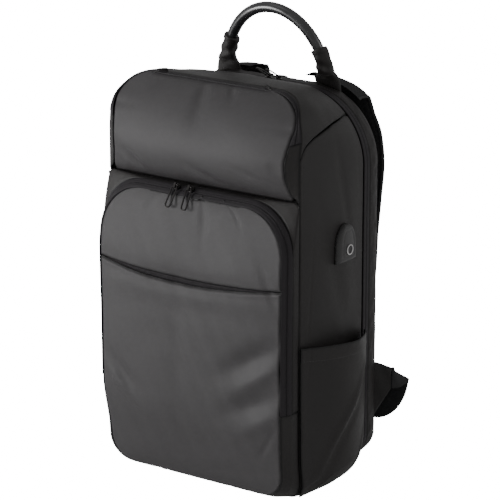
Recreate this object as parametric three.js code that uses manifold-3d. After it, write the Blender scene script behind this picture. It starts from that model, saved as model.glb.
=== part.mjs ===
// Laptop backpack, zipped shut and standing on its base.
// Millimetres, +Z up, the front faces -Y and X = 0 is the middle. The pieces are laid out from the
// front side seam at Y = 0 and from the ground, and the last lines move the origin under the middle.
//
// The body is a row of rounded outlines, one at each depth. Every cloth piece is a wall between
// two of these outlines, so neighbours share a seam line and lean their edges the same way there.

import * as THREE from 'three';
import Module from 'manifold-3d';

const wasm = await Module();
wasm.setup();

// Cloth
const WALL = 1.8; // coated cloth with its backing
const FRONT_WALL = 2.4; // the front pockets' lightly padded cloth
const GAP = 0.3; // between pieces that are sewn or laid together

// Body
const BODY_WIDTH = 270;
const BODY_DEPTH = 152; // from the front seam to the back seam
const BODY_RIDGE = 461;
const REAR_RISE = 17; // how far the base climbs to the back seam
const TOP_FALL = 20; // how far the top drops to the back seam
const FOOT_RADIUS = 52;
const CROWN_RADIUS = 80;
const SIDE_PUFF = 5;
const TOP_PUFF = 2.5;
const STRIP_PUFF = 1.6;
const FRONT_LEAN = 29; // how far the top of the front seam lies back
const YOKE_HEIGHT = 392; // where the top panel's seam leaves the front seam

// Main zipper
const ZIP_DEPTH = 119;
const ZIP_WIDTH = 12;

// Front pocket
const CREASE_HEIGHT = 347;
const POCKET_WIDTH = 247; // its face, inside the zipper
const POCKET_FOOT = 7;
const POCKET_OUT = 27; // how far the face stands out from the front seam
const POCKET_FOOT_RADIUS = 28;
const POCKET_CROWN_RADIUS = 52;
const POCKET_ZIP_WIDTH = 14.5;
const POCKET_ZIP_LEAN = 65; // degrees, how far the zipper turns back from the face at the sides
const POCKET_TOP_DROP = 10; // from the crease to the top of the face
const POCKET_ZIP_END = 110; // height of the zipper's lower ends
const POCKET_PUFF = 6;
const SLIT_HEIGHT = 252;
const SLIT_SAG = 7;
const SLIT_MOUTH = 5; // how far the lower lip hangs open at most
const SLIT_REACH = 60; // how far above and below the sag dies out
const SLIT_TAPE = 20;

// Upper pocket
const UPPER_WIDTH = 250;
const UPPER_OUT = 11;
const UPPER_BACK = 19; // where its top edge lies behind the front seam
const UPPER_FOOT_RADIUS = 6;
const UPPER_CROWN_RADIUS = 42;
const UPPER_PUFF = 9;

// Side pockets
const SIDE_POCKET_FRONT = 183; // height of the mouth at the front seam
const SIDE_POCKET_DROP = 8; // how much lower it is at the zipper
const SIDE_POCKET_GAPE = 17;
const SIDE_POCKET_WALL = 2;

// Cover of the charging port, on the right
const PORT_WIDTH = 35;
const PORT_HEIGHT = 43;
const PORT_OUT = 7;
const PORT_DEPTH = 74; // its middle, behind the front seam
const PORT_FOOT = 266;
const PORT_RING_UP = 0.34; // height of its middle on the cover, as a share
const PORT_RING_RADIUS = 5.8;
const PORT_RING_RIM = 0.9;
const PORT_RING_THICK = 0.8;

// Back panel
const BACK_PAD = 7;
const BACK_PAD_EDGE = 2.6;
const BACK_PUFF = 5;
const BACK_CHANNEL = 26; // width of the air channel down its middle
const BACK_GROOVE = 3;

// Handle
const HANDLE_SPAN = 137; // between the middles of its feet
const HANDLE_REACH = 83; // above the top panel
const HANDLE_GRIP = 12.6; // diameter of its round middle
const HANDLE_BACK = 146;
const HANDLE_LEAN = 14; // how far its top comes forward
const SLEEVE_TOP = 18;
const SLEEVE_FOOT = 34;
const SLEEVE_DEPTH = 9; // front to back where the foot is pressed flat
const SLEEVE_WALL = 2;
const SLEEVE_REACH = 42; // height of the sleeves above the feet

// Shoulder straps
const STRAP_WIDTH = 66;
const STRAP_PAD = 9;
const STRAP_EDGE = 4;
const STRAP_SPREAD = 97; // from the middle to a strap's widest place
const STRAP_STAND = 30; // how far the straps stand behind the back seam
const STRAP_TOP = 441;
const STRAP_FOOT = 140;

// Webbing, adjusters and wings
const WEBBING_WIDTH = 25;
const WEBBING_THICK = 1.6;
const LOCK_WIDTH = 33;
const LOCK_RAIL = 3.2; // its rails and its top and middle bars
const LOCK_FOOT_BAR = 3.6;
const LOCK_SLOTS = [11.7, 8.7]; // upper and lower slot
const LOCK_THICK = 4;
const LOCK_DROP = 20; // its middle below the strap's foot
const WING_REACH = 17;
const WING_TURN = 37; // degrees that the wings turn backward
const WING_LOW = 58;
const WING_HIGH = 126;
const WING_TIP = 106;
const WING_WALL = 3;

// Zip sliders and their wire pulls
const PULL_LENGTH = 27.5;
const PULL_WIDTH = 8.6;
const PULL_WIRE = 1.9;
const SLIDER_LENGTH = 9.5;
const SLIDER_WIDTH = 7;
const SLIDER_THICK = 2.6;
const BRIDGE_WIDTH = 2.6;
const BRIDGE_BAR = 1.1;
const PIVOT_PLAY = 0.6;

// Sliders. x: from the middle, up: share of the way across the zipper, tip: degrees that the slider
// tips forward, lift: degrees that the pull stands up from it, swing: that the pull hangs to the left.
const frontPulls = [
  { name: 'front_left', x: -25, up: 0.72, tip: 12, lift: -6, swing: 8 },
  { name: 'front_right', x: -6, up: 0.72, tip: 12, lift: -6, swing: 0 },
];
const topPulls = [
  { name: 'top_left', x: 1, up: 0.5, tip: 0, lift: 22, swing: 0 },
  { name: 'top_right', x: 14, up: 0.5, tip: 0, lift: 22, swing: 0 },
];

// Colours
const shell = { color: 0x3a3838, roughness: 0.62, metalness: 0 };
const panel = { color: 0x444242, roughness: 0.6, metalness: 0 };
const tape = { color: 0x2c292c, roughness: 0.85, metalness: 0 };
const mesh = { color: 0x1c1c1d, roughness: 0.95, metalness: 0 };
const web = { color: 0x161616, roughness: 0.8, metalness: 0 };
const rubber = { color: 0x2b2a2a, roughness: 0.5, metalness: 0 };
const plastic = { color: 0x121212, roughness: 0.45, metalness: 0 };
const metal = { color: 0x4a4440, roughness: 0.35, metalness: 0.9 };

// Steps along the outlines: the flat of the base and of the top, the corner arcs and the sides
const FLAT_STEPS = 5;
const ARC_STEPS = 4;
const CROWN_STEPS = 5;
const SIDE_STEPS = 8;
const DEPTH_STEPS = 6;

// Outlines of the body at each depth. at: share of the depth, wide: of the width, rise: of the rear
// rise, fall: of the top fall, foot and crown: of the corner radii.
const bodySections = [
  { at: 0.0, wide: 0.962, rise: 0.1, fall: 0.15, foot: 0.46, crown: 0.6 },
  { at: 0.06, wide: 0.97, rise: 0.0, fall: 0.08, foot: 0.47, crown: 0.6 },
  { at: 0.19, wide: 0.982, rise: 0.0, fall: 0.0, foot: 0.5, crown: 0.64 },
  { at: 0.4, wide: 0.994, rise: 0.0, fall: 0.15, foot: 0.6, crown: 0.77 },
  { at: 0.64, wide: 1.0, rise: 0.0, fall: 0.52, foot: 0.75, crown: 0.92 },
  { at: 0.785, wide: 0.998, rise: 0.0, fall: 0.88, foot: 0.94, crown: 1.0 },
  { at: 0.86, wide: 0.992, rise: 0.45, fall: 0.96, foot: 0.75, crown: 1.0 },
  { at: 1.0, wide: 0.974, rise: 1.0, fall: 1.0, foot: 0.5, crown: 1.0 },
];

// How far the front seam lies back. up: share of the ridge height, back: share of the lean.
const frontSeam = [
  { up: 0.0, back: 0.36 },
  { up: 0.05, back: 0.16 },
  { up: 0.13, back: 0.04 },
  { up: 0.3, back: 0.0 },
  { up: 0.85, back: 0.0 },
  { up: 0.9, back: 0.1 },
  { up: 0.925, back: 0.2 },
  { up: 0.95, back: 0.55 },
  { up: 0.975, back: 0.88 },
  { up: 1.0, back: 1.0 },
];

// The seam between side panel and top panel. at: share of the depth to the zipper, up: share of
// the way from the yoke height to the ridge.
const yokeSeam = [
  { at: 0.0, up: 0.0 },
  { at: 0.05, up: 0.16 },
  { at: 0.11, up: 0.25 },
  { at: 0.21, up: 0.33 },
  { at: 0.39, up: 0.4 },
  { at: 0.62, up: 0.44 },
  { at: 0.82, up: 0.44 },
  { at: 1.0, up: 0.4 },
];

// Side view of the front pocket's edge. up: share of its height, out: share of its reach,
// wide: share of its width.
const pocketEdge = [
  { up: 0.0, out: 0.42, wide: 0.95 },
  { up: 0.06, out: 0.58, wide: 0.96 },
  { up: 0.15, out: 0.72, wide: 0.97 },
  { up: 0.32, out: 0.98, wide: 1.0 },
  { up: 0.5, out: 1.0, wide: 1.0 },
  { up: 0.78, out: 1.0, wide: 1.01 },
  { up: 0.9, out: 0.86, wide: 1.0 },
  { up: 1.0, out: 0.7, wide: 1.0 },
];

// Side view of the upper pocket's edge. up: share of the way from crease to ridge, out: share of
// its reach in front of the front seam, back: share of its way behind it, wide: share of its width.
const upperEdge = [
  { up: 0.0, out: 0.0, back: 0.1, wide: 0.995 },
  { up: 0.1, out: 0.45, back: 0, wide: 0.965 },
  { up: 0.28, out: 0.92, back: 0, wide: 0.935 },
  { up: 0.38, out: 1.0, back: 0, wide: 0.935 },
  { up: 0.5, out: 0.72, back: 0, wide: 0.95 },
  { up: 0.61, out: 0.36, back: 0, wide: 0.965 },
  { up: 0.71, out: 0.0, back: 0.1, wide: 0.985 },
  { up: 0.84, out: 0.0, back: 0.52, wide: 1.0 },
  { up: 0.93, out: 0.0, back: 0.8, wide: 1.0 },
  { up: 1.0, out: 0.0, back: 1.0, wide: 1.0 },
];

// Dents and folds of the front. across and up: middle of the fold as shares of the half width and
// height, wide and tall: its reach, turn: degrees, deep: millimetres inward.
const pocketFolds = [
  { across: 0.72, up: 0.47, wide: 0.42, tall: 0.035, turn: -6, deep: 2.2 },
  { across: 0.7, up: 0.33, wide: 0.46, tall: 0.04, turn: 4, deep: 2.0 },
  { across: 0.84, up: 0.24, wide: 0.22, tall: 0.03, turn: 8, deep: 1.4 },
  { across: -0.88, up: 0.3, wide: 0.2, tall: 0.03, turn: -52, deep: 1.8 },
  { across: 0.0, up: 0.72, wide: 1.1, tall: 0.03, turn: 0, deep: 2.4 },
  { across: -0.3, up: 0.97, wide: 0.09, tall: 0.06, turn: 0, deep: 1.6 },
  { across: -0.05, up: 0.97, wide: 0.08, tall: 0.07, turn: 0, deep: 1.4 },
];
const upperFolds = [
  { across: -0.82, up: 0.22, wide: 0.22, tall: 0.1, turn: 40, deep: 2.0 },
  { across: -0.15, up: 0.86, wide: 0.1, tall: 0.16, turn: 0, deep: 1.8 },
  { across: 0.35, up: 0.2, wide: 0.5, tall: 0.08, turn: -4, deep: 1.2 },
];
const sideFolds = [
  { across: 0.1, up: 0.93, wide: 0.5, tall: 0.05, turn: -28, deep: 2.0 },
  { across: 0.5, up: 0.5, wide: 0.7, tall: 0.08, turn: 12, deep: 1.5 },
  { across: -0.2, up: 0.72, wide: 0.6, tall: 0.06, turn: -18, deep: 1.5 },
];
const topFolds = [
  { across: -0.6, up: 0.4, wide: 0.3, tall: 0.5, turn: 0, deep: 4.5 },
  { across: -0.2, up: 0.12, wide: 0.1, tall: 0.35, turn: 0, deep: 1.6 },
  { across: 0.25, up: 0.15, wide: 0.12, tall: 0.3, turn: 0, deep: 1.2 },
];

const smooth = THREE.MathUtils.smoothstep;
const radians = THREE.MathUtils.degToRad;

// A table's column at a place, on a cubic that never overshoots its rows.
function column(rows, key, name, at) {
  const last = rows.length - 1;
  if (at <= rows[0][key]) return rows[0][name];
  if (at >= rows[last][key]) return rows[last][name];
  const i = rows.findIndex((row, k) => k < last && at < rows[k + 1][key]);
  const step = (k) => rows[k + 1][key] - rows[k][key];
  const rate = (k) => (rows[k + 1][name] - rows[k][name]) / step(k);
  const slope = (k) => {
    if (k === 0 || k === last) return rate(Math.min(k, last - 1));
    const a = rate(k - 1);
    const b = rate(k);
    return a * b <= 0 ? 0 : (2 * a * b) / (a + b);
  };
  const h = step(i);
  const t = (at - rows[i][key]) / h;
  const blend = t * t * (3 - 2 * t);
  return rows[i][name] * (1 - blend) + rows[i + 1][name] * blend
    + h * slope(i) * t * (1 - t) * (1 - t) - h * slope(i + 1) * t * t * (1 - t);
}

// How deep a table of folds is at a place.
function foldDepth(folds, across, up) {
  return folds.reduce((sum, fold) => {
    const turn = radians(fold.turn);
    const a = across - fold.across;
    const b = up - fold.up;
    const along = (a * Math.cos(turn) + b * Math.sin(turn)) / fold.wide;
    const over = (b * Math.cos(turn) - a * Math.sin(turn)) / fold.tall;
    return sum + fold.deep * Math.exp(-along * along - over * over);
  }, 0);
}

// Arc lengths of a rounded outline's right half, from the middle of its base.
function outlineLengths(o) {
  const base = o.half - o.foot;
  const footArc = base + (o.foot * Math.PI) / 2;
  const side = footArc + o.high - o.crown - o.low - o.foot;
  const crownArc = side + (o.crown * Math.PI) / 2;
  return { base, footArc, side, crownArc, top: crownArc + o.half - o.crown };
}

// The point at an arc length and the direction that faces out of the outline there.
function outlineAt(o, s) {
  const l = outlineLengths(o);
  if (s <= l.base) return { x: s, z: o.low, nx: 0, nz: -1 };
  if (s <= l.footArc) {
    const nx = Math.sin((s - l.base) / o.foot);
    const nz = -Math.cos((s - l.base) / o.foot);
    return { x: l.base + o.foot * nx, z: o.low + o.foot * (1 + nz), nx, nz };
  }
  if (s <= l.side) return { x: o.half, z: o.low + o.foot + s - l.footArc, nx: 1, nz: 0 };
  if (s <= l.crownArc) {
    const nx = Math.cos((s - l.side) / o.crown);
    const nz = Math.sin((s - l.side) / o.crown);
    return { x: o.half + o.crown * (nx - 1), z: o.high + o.crown * (nz - 1), nx, nz };
  }
  return { x: o.half - o.crown - s + l.crownArc, z: o.high, nx: 0, nz: 1 };
}

// The arc length where the side of an outline reaches a height.
function lengthAtHeight(o, z) {
  const l = outlineLengths(o);
  const above = z - (o.high - o.crown);
  if (above <= 0) return l.footArc + z - o.low - o.foot;
  return l.side + o.crown * Math.asin(Math.min(1, above / o.crown));
}

// Places along an outline, from marks that give an arc length and the steps that lead to it.
function along(o, from, marks) {
  const places = [outlineAt(o, from)];
  marks.reduce((start, mark) => {
    for (let k = 1; k <= mark.steps; k += 1) {
      places.push(outlineAt(o, start + ((mark.to - start) * k) / mark.steps));
    }
    return mark.to;
  }, from);
  return places;
}

// A seam point: where it is, and which way the cloth's thickness goes there. The lean turns that
// way from straight inward to straight back, in degrees.
function seamPoint(place, y, lean) {
  const into = new THREE.Vector3(-place.nx, 0, -place.nz).multiplyScalar(Math.cos(radians(lean)));
  into.y = Math.sin(radians(lean));
  return { point: new THREE.Vector3(place.x, y, place.z), into };
}

function mirrored(seam) {
  const flip = new THREE.Vector3(-1, 1, 1);
  return { point: seam.point.clone().multiply(flip), into: seam.into?.clone().multiply(flip) };
}

// The whole seam from its left end over the middle to its right end, from its right half.
const wholeArch = (half) => [...half.map(mirrored), ...half.slice(0, -1).reverse()];

// Rows of points between seams, with steps in each stretch.
function between(seams, steps) {
  const rows = [seams[0]];
  for (let k = 1; k < seams.length; k += 1) {
    for (let i = 1; i <= steps[k - 1]; i += 1) {
      const t = i / steps[k - 1];
      rows.push(seams[k].map((end, j) => {
        const start = seams[k - 1][j];
        return {
          point: start.point.clone().lerp(end.point, t),
          into: start.into.clone().lerp(end.into, t).normalize(),
        };
      }));
    }
  }
  return rows;
}

const CORE = new THREE.Vector3(0, BODY_DEPTH / 2, BODY_RIDGE / 2);

// The way out of a grid of points, away from the middle of the body.
function facing(grid, i, j, core = CORE) {
  const at = (a, b) => grid[a][b].point;
  const rows = grid.length - 1;
  const columns = grid[0].length - 1;
  const down = at(Math.min(i + 1, rows), j).clone().sub(at(Math.max(i - 1, 0), j));
  const over = at(i, Math.min(j + 1, columns)).clone().sub(at(i, Math.max(j - 1, 0)));
  const out = down.cross(over).normalize();
  return out.dot(at(i, j).clone().sub(core)) < 0 ? out.negate() : out;
}

// Moves a grid's points outward by an amount that depends on their shares across the grid.
function pushed(grid, amount, core = CORE) {
  return grid.map((row, i) => row.map((cell, j) => {
    const out = facing(grid, i, j, core);
    const push = amount(i / (grid.length - 1), j / (row.length - 1), cell.point);
    return { ...cell, point: cell.point.clone().addScaledVector(out, push) };
  }));
}

// Draws a grid's rim back from its seams by half the gap.
function trimmed(grid) {
  const back = (from, to) => to.clone().sub(from).normalize().multiplyScalar(GAP / 2);
  const rows = grid.length - 1;
  const columns = grid[0].length - 1;
  return grid.map((row, i) => row.map((cell, j) => {
    const point = cell.point.clone();
    if (i === 0) point.add(back(cell.point, grid[1][j].point));
    if (i === rows) point.add(back(cell.point, grid[rows - 1][j].point));
    if (j === 0) point.add(back(cell.point, row[1].point));
    if (j === columns) point.add(back(cell.point, row[columns - 1].point));
    return { ...cell, point };
  }));
}

function closedGeometry(points, faces) {
  const volume = faces.reduce((sum, [a, b, c]) => (
    sum + points[a].dot(points[b].clone().cross(points[c]))), 0);
  const turned = volume < 0 ? faces.map(([a, b, c]) => [a, c, b]) : faces;
  const geometry = new THREE.BufferGeometry().setFromPoints(points);
  geometry.setIndex(turned.flat());
  geometry.computeVertexNormals();
  return geometry;
}

// A closed body between two grids of the same size. A wrapped body runs round, so that its columns
// meet and only its first and last rows have a rim.
function closedLayers(outer, inner, wrapped = false) {
  const rows = outer.length;
  const columns = outer[0].length;
  const points = [...outer.flat(), ...inner.flat()].map((cell) => cell.point);
  const id = (layer, i, j) => layer * rows * columns + i * columns + (j % columns);
  const faces = [];
  const quad = (a, b, c, d) => faces.push([a, b, c], [a, c, d]);
  const last = rows - 1;
  const end = columns - 1;
  for (let j = 0; j < (wrapped ? columns : end); j += 1) {
    for (let i = 0; i < last; i += 1) {
      quad(id(0, i, j), id(0, i + 1, j), id(0, i + 1, j + 1), id(0, i, j + 1));
      quad(id(1, i, j), id(1, i, j + 1), id(1, i + 1, j + 1), id(1, i + 1, j));
    }
    quad(id(0, 0, j), id(0, 0, j + 1), id(1, 0, j + 1), id(1, 0, j));
    quad(id(0, last, j), id(1, last, j), id(1, last, j + 1), id(0, last, j + 1));
  }
  for (let i = 0; i < (wrapped ? 0 : last); i += 1) {
    quad(id(0, i, 0), id(1, i, 0), id(1, i + 1, 0), id(0, i + 1, 0));
    quad(id(0, i, end), id(0, i + 1, end), id(1, i + 1, end), id(1, i, end));
  }
  return closedGeometry(points, faces);
}

// A closed wall: the grid is its outside, and the inside lies a thickness further in. Rim points
// that carry a seam direction follow it, all others go straight in.
function wallOf(grid, thickness, core = CORE) {
  const outer = trimmed(grid);
  const rows = outer.length - 1;
  const columns = outer[0].length - 1;
  const thick = typeof thickness === 'function' ? thickness : () => thickness;
  const onRim = (i, j) => i === 0 || j === 0 || i === rows || j === columns;
  const inner = outer.map((row, i) => row.map((cell, j) => {
    const into = cell.into && onRim(i, j) ? cell.into : facing(outer, i, j, core).negate();
    return { point: cell.point.clone().addScaledVector(into, thick(i / rows, j / columns)) };
  }));
  return closedLayers(outer, inner);
}

const backpack = new THREE.Group();

function addPiece(name, geometry, look, parent = backpack) {
  const piece = new THREE.Mesh(geometry, new THREE.MeshStandardMaterial({ ...look }));
  piece.name = name;
  parent.add(piece);
  return piece;
}

// A piece on the left and its mirror image on the right.
function addPair(name, gridOf, thickness, look, core) {
  const right = gridOf();
  const left = right.map((row) => row.map(mirrored));
  const leftCore = core?.clone().multiply(new THREE.Vector3(-1, 1, 1));
  addPiece(`${name}_left`, wallOf(left, thickness, leftCore), look);
  addPiece(`${name}_right`, wallOf(right, thickness, core), look);
}

// The outline of the body at a depth.
function bodyOutline(y) {
  const at = y / BODY_DEPTH;
  const share = (name) => column(bodySections, 'at', name, at);
  return {
    half: (share('wide') * BODY_WIDTH) / 2,
    low: share('rise') * REAR_RISE,
    high: BODY_RIDGE - share('fall') * TOP_FALL,
    foot: share('foot') * FOOT_RADIUS,
    crown: share('crown') * CROWN_RADIUS,
  };
}

const frontDepth = (z) => FRONT_LEAN * column(frontSeam, 'up', 'back', z / BODY_RIDGE);

function yokeHeight(y) {
  const up = column(yokeSeam, 'at', 'up', y / ZIP_DEPTH);
  return YOKE_HEIGHT + up * (BODY_RIDGE - YOKE_HEIGHT);
}

// Stretches of the body's right half between its seams, with the steps in each.
const bodyStretches = {
  base: [['middle', 'base', FLAT_STEPS], ['base', 'footSeam', ARC_STEPS / 2]],
  side: [['footSeam', 'footArc', ARC_STEPS / 2], ['footArc', 'yoke', SIDE_STEPS]],
  top: [['yoke', 'crownArc', CROWN_STEPS], ['crownArc', 'top', FLAT_STEPS]],
};

function stationsOf(stretches) {
  const stations = [];
  stretches.flatMap((name) => bodyStretches[name]).forEach(([from, to, steps]) => {
    for (let k = stations.length ? 1 : 0; k <= steps; k += 1) {
      stations.push({ from, to, share: k / steps });
    }
  });
  return stations;
}

// Where a station of the body lies on its outline at a depth.
function bodyPlace({ from, to, share }, y) {
  const o = bodyOutline(y);
  const l = outlineLengths(o);
  const marks = {
    ...l, middle: 0, footSeam: (l.base + l.footArc) / 2, yoke: lengthAtHeight(o, yokeHeight(y)),
  };
  return outlineAt(o, THREE.MathUtils.lerp(marks[from], marks[to], share));
}

// Degrees that cloth edges lean back at a seam, which keeps neighbours' thicknesses apart
const FRONT_TURN = 12;
const FACE_TURN = 61;
const MIDDLE_TURN = 28;
const UPPER_TURN = 40;

// A share of the way from the front seam back to a depth. At zero it is the front seam itself.
function bodySeam(stretches, depth, share = 1, lean = FRONT_TURN * (1 - share)) {
  return stationsOf(stretches).map((station) => {
    const front = frontDepth(bodyPlace(station, 0).z);
    const y = THREE.MathUtils.lerp(front, depth, share);
    return seamPoint(bodyPlace(station, y), y, lean);
  });
}

function bodyPanel(stretches, depth, steps) {
  return Array.from({ length: steps + 1 }, (_, k) => bodySeam(stretches, depth, k / steps));
}

const bump = (t) => Math.sin(Math.PI * THREE.MathUtils.clamp(t, 0, 1));

// Side panels
function sidePanelGrid() {
  return pushed(bodyPanel(['side'], ZIP_DEPTH, DEPTH_STEPS), (v, u) => (
    SIDE_PUFF * bump(v) * bump(u) ** 0.6 - foldDepth(sideFolds, v * 2 - 1, u) * bump(v) * bump(u)));
}
addPair('side_panel', sidePanelGrid, WALL, shell);

// Top panel, from the upper pocket's zipper back to the main zipper
const topRows = bodyPanel(['top'], ZIP_DEPTH, DEPTH_STEPS).map(wholeArch);
const topGrid = pushed(topRows, (v, u) => (
  (TOP_PUFF - foldDepth(topFolds, u * 2 - 1, v)) * bump(v) * Math.sqrt(bump(u))));
addPiece('top_panel', wallOf(topGrid, WALL), shell);

// Main zipper, with the strip behind it that ends at the back seam
const arch = ['side', 'top'];
const ZIP_BACK = ZIP_DEPTH + ZIP_WIDTH;
const BACK_TURN = -45;
const backRows = (stretches) => between([
  bodySeam(stretches, ZIP_BACK), bodySeam(stretches, BODY_DEPTH, 1, BACK_TURN),
], [2]);
addPiece('main_zipper', wallOf([
  wholeArch(bodySeam(arch, ZIP_DEPTH)), wholeArch(bodySeam(arch, ZIP_BACK)),
], WALL), tape);
const stripGrid = pushed(backRows(arch).map(wholeArch), (v, u) => (
  STRIP_PUFF * bump(v) * Math.min(1, 6 * bump(u))));
addPiece('rear_strip', wallOf(stripGrid, WALL), shell);

// Base, from the front seam to the back seam
const baseHalves = [...bodyPanel(['base'], ZIP_DEPTH, DEPTH_STEPS), ...backRows(['base'])];
const acrossMiddle = (half) => [...half.slice(1).reverse().map(mirrored), ...half];
addPiece('base_panel', wallOf(baseHalves.map(acrossMiddle), FRONT_WALL), shell);

// A face over an outline: each row runs straight from the left side to the right side.
function faceRows(half) {
  const sides = half.slice(FLAT_STEPS, half.length - FLAT_STEPS);
  return sides.map((seam, i) => {
    const other = mirrored(seam);
    return Array.from({ length: 2 * FLAT_STEPS + 1 }, (_, j) => {
      const t = j / (2 * FLAT_STEPS);
      const edge = i === 0 || i === sides.length - 1 || j === 0 || j === 2 * FLAT_STEPS;
      const point = other.point.clone().lerp(seam.point, t);
      if (!edge) return { point };
      return { point, into: other.into.clone().lerp(seam.into, t).normalize() };
    });
  });
}

// Back panel: a pad with an air channel down its middle
const backHalf = bodySeam(['base', 'side', 'top'], BODY_DEPTH, 1, BACK_TURN);
const backGrid = pushed(faceRows(backHalf), (v, u) => {
  const fromMiddle = Math.abs(u * 2 - 1) * (BODY_WIDTH / 2);
  const channel = BACK_GROOVE * (1 - smooth(fromMiddle, BACK_CHANNEL / 4, BACK_CHANNEL));
  return BACK_PUFF * Math.sqrt(bump(v) * bump(u)) - channel * bump(v);
});
addPiece('back_panel', wallOf(backGrid, (v, u) => (
  THREE.MathUtils.lerp(BACK_PAD_EDGE, BACK_PAD, Math.sqrt(bump(v) * bump(u))))), mesh);

// Plain wall behind the front pockets, just inside the front seam
const SEAM_ALLOWANCE = 2 * GAP;
const partitionSide = WALL + SEAM_ALLOWANCE;
const partitionFoot = FRONT_WALL + SEAM_ALLOWANCE;
const frontOutline = bodyOutline(0);
const partitionOutline = {
  half: frontOutline.half - partitionSide,
  low: frontOutline.low + partitionFoot,
  high: BODY_RIDGE - partitionFoot - WALL,
  foot: frontOutline.foot - partitionSide,
  crown: frontOutline.crown,
};
const partitionLengths = outlineLengths(partitionOutline);
const partitionHalf = along(partitionOutline, 0, [
  { to: partitionLengths.base, steps: FLAT_STEPS },
  { to: partitionLengths.footArc, steps: ARC_STEPS },
  { to: partitionLengths.side, steps: SIDE_STEPS / 2 },
  { to: partitionLengths.crownArc, steps: CROWN_STEPS },
  { to: partitionLengths.top, steps: FLAT_STEPS },
]).map((place) => ({
  point: new THREE.Vector3(place.x, frontDepth(place.z) + FRONT_WALL + WALL + GAP, place.z),
  into: new THREE.Vector3(0, 1, 0),
}));
addPiece('partition', wallOf(faceRows(partitionHalf), WALL), shell);

// Outlines of the front pocket: its face, the far edge of its zipper, and its base on the seam
const faceHigh = CREASE_HEIGHT - POCKET_TOP_DROP;
const zipOut = Math.cos(radians(POCKET_ZIP_LEAN)) * POCKET_ZIP_WIDTH;
const zipIn = Math.sin(radians(POCKET_ZIP_LEAN)) * POCKET_ZIP_WIDTH;
const pocketFace = {
  half: POCKET_WIDTH / 2,
  low: POCKET_FOOT,
  high: faceHigh,
  foot: POCKET_FOOT_RADIUS,
  crown: POCKET_CROWN_RADIUS,
};
const pocketMiddle = {
  half: pocketFace.half + zipOut,
  low: POCKET_FOOT - 2,
  high: CREASE_HEIGHT - 1,
  foot: POCKET_FOOT_RADIUS,
  crown: POCKET_CROWN_RADIUS + zipOut,
};
const pocketBase = { ...frontOutline, high: CREASE_HEIGHT, crown: 4 };

const pocketShare = (name, z) => column(pocketEdge, 'up', name, z / faceHigh);

function pocketSeam(o, lean, depthAt, wideAt) {
  const l = outlineLengths(o);
  const marks = [
    { to: l.base, steps: FLAT_STEPS },
    { to: l.footArc, steps: ARC_STEPS },
    { to: lengthAtHeight(o, POCKET_ZIP_END), steps: 2 },
    { to: lengthAtHeight(o, SLIT_HEIGHT), steps: 4 },
    { to: l.side, steps: 1 },
    { to: l.crownArc, steps: CROWN_STEPS },
    { to: l.top, steps: FLAT_STEPS },
  ];
  return along(o, 0, marks).map((place) => (
    seamPoint({ ...place, x: place.x * wideAt(place.z) }, depthAt(place.z), lean)));
}
const zipStart = FLAT_STEPS + ARC_STEPS + 2;
const slitRow = ARC_STEPS + 2 + 4;

const faceSeam = pocketSeam(pocketFace, FACE_TURN, (z) => -POCKET_OUT * pocketShare('out', z),
  (z) => pocketShare('wide', z));
const middleSeam = pocketSeam(pocketMiddle, MIDDLE_TURN,
  (z) => (zipIn - POCKET_OUT) * pocketShare('out', z), (z) => (1 + pocketShare('wide', z)) / 2);
const baseSeam = pocketSeam(pocketBase, FRONT_TURN, frontDepth, () => 1);

// Its zipper, the gusset outside the zipper and plain cloth below the zipper's ends
const upperPart = (half) => wholeArch(half.slice(zipStart));
const lowerPart = (half) => acrossMiddle(half.slice(0, zipStart + 1));
addPiece('front_pocket_zipper', wallOf([upperPart(faceSeam), upperPart(middleSeam)], WALL), tape);
addPiece('front_pocket_gusset', wallOf(
  between([upperPart(middleSeam), upperPart(baseSeam)], [2]), WALL), shell);
addPiece('front_pocket_foot', wallOf(
  between([lowerPart(faceSeam), lowerPart(middleSeam), lowerPart(baseSeam)], [1, 1]), WALL), shell);

// Its face, cut across by the slit of a hidden zipper
const acrossShare = (j) => (j / (2 * FLAT_STEPS)) * 2 - 1;
const faceGrid = pushed(faceRows(faceSeam).map((row) => row.map((cell, j) => {
  const near = 1 - smooth(Math.abs(cell.point.z - SLIT_HEIGHT), 0, SLIT_REACH);
  const point = cell.point.clone();
  point.z -= SLIT_SAG * (1 - acrossShare(j) ** 2) * near;
  return { ...cell, point };
})), (v, u, point) => {
  const across = u * 2 - 1;
  const up = (point.z - POCKET_FOOT) / (faceHigh - POCKET_FOOT);
  const free = bump(up) * (1 - across ** 6);
  return POCKET_PUFF * (1 - across ** 4) * bump(up) ** 0.7
    - foldDepth(pocketFolds, across, up) * Math.sqrt(Math.max(free, 0));
});

// The lower lip of the slit hangs open, most of all left of the middle.
const lowerFace = faceGrid.slice(0, slitRow + 1).map((row, i) => row.map((cell, j) => {
  if (i < slitRow) return cell;
  const across = acrossShare(j);
  const point = cell.point.clone();
  point.z -= SLIT_MOUTH * (1 - across ** 2) * (1 - 0.35 * across);
  return { ...cell, point };
}));
addPiece('front_panel_lower', wallOf(lowerFace, FRONT_WALL), panel);
addPiece('front_panel_upper', wallOf(faceGrid.slice(slitRow), FRONT_WALL), panel);

// Tape of the hidden zipper, behind both lips of the slit
const slitGrid = [-0.5, 0, 0.5].map((side) => faceGrid[slitRow].slice(1, -1).map((cell) => {
  const point = cell.point.clone();
  point.z += side * SLIT_TAPE - SLIT_MOUTH / 2;
  point.y += FRONT_WALL + 2 * GAP;
  return { point };
}));
addPiece('slit_zipper', wallOf(slitGrid, WALL), tape);

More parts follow.
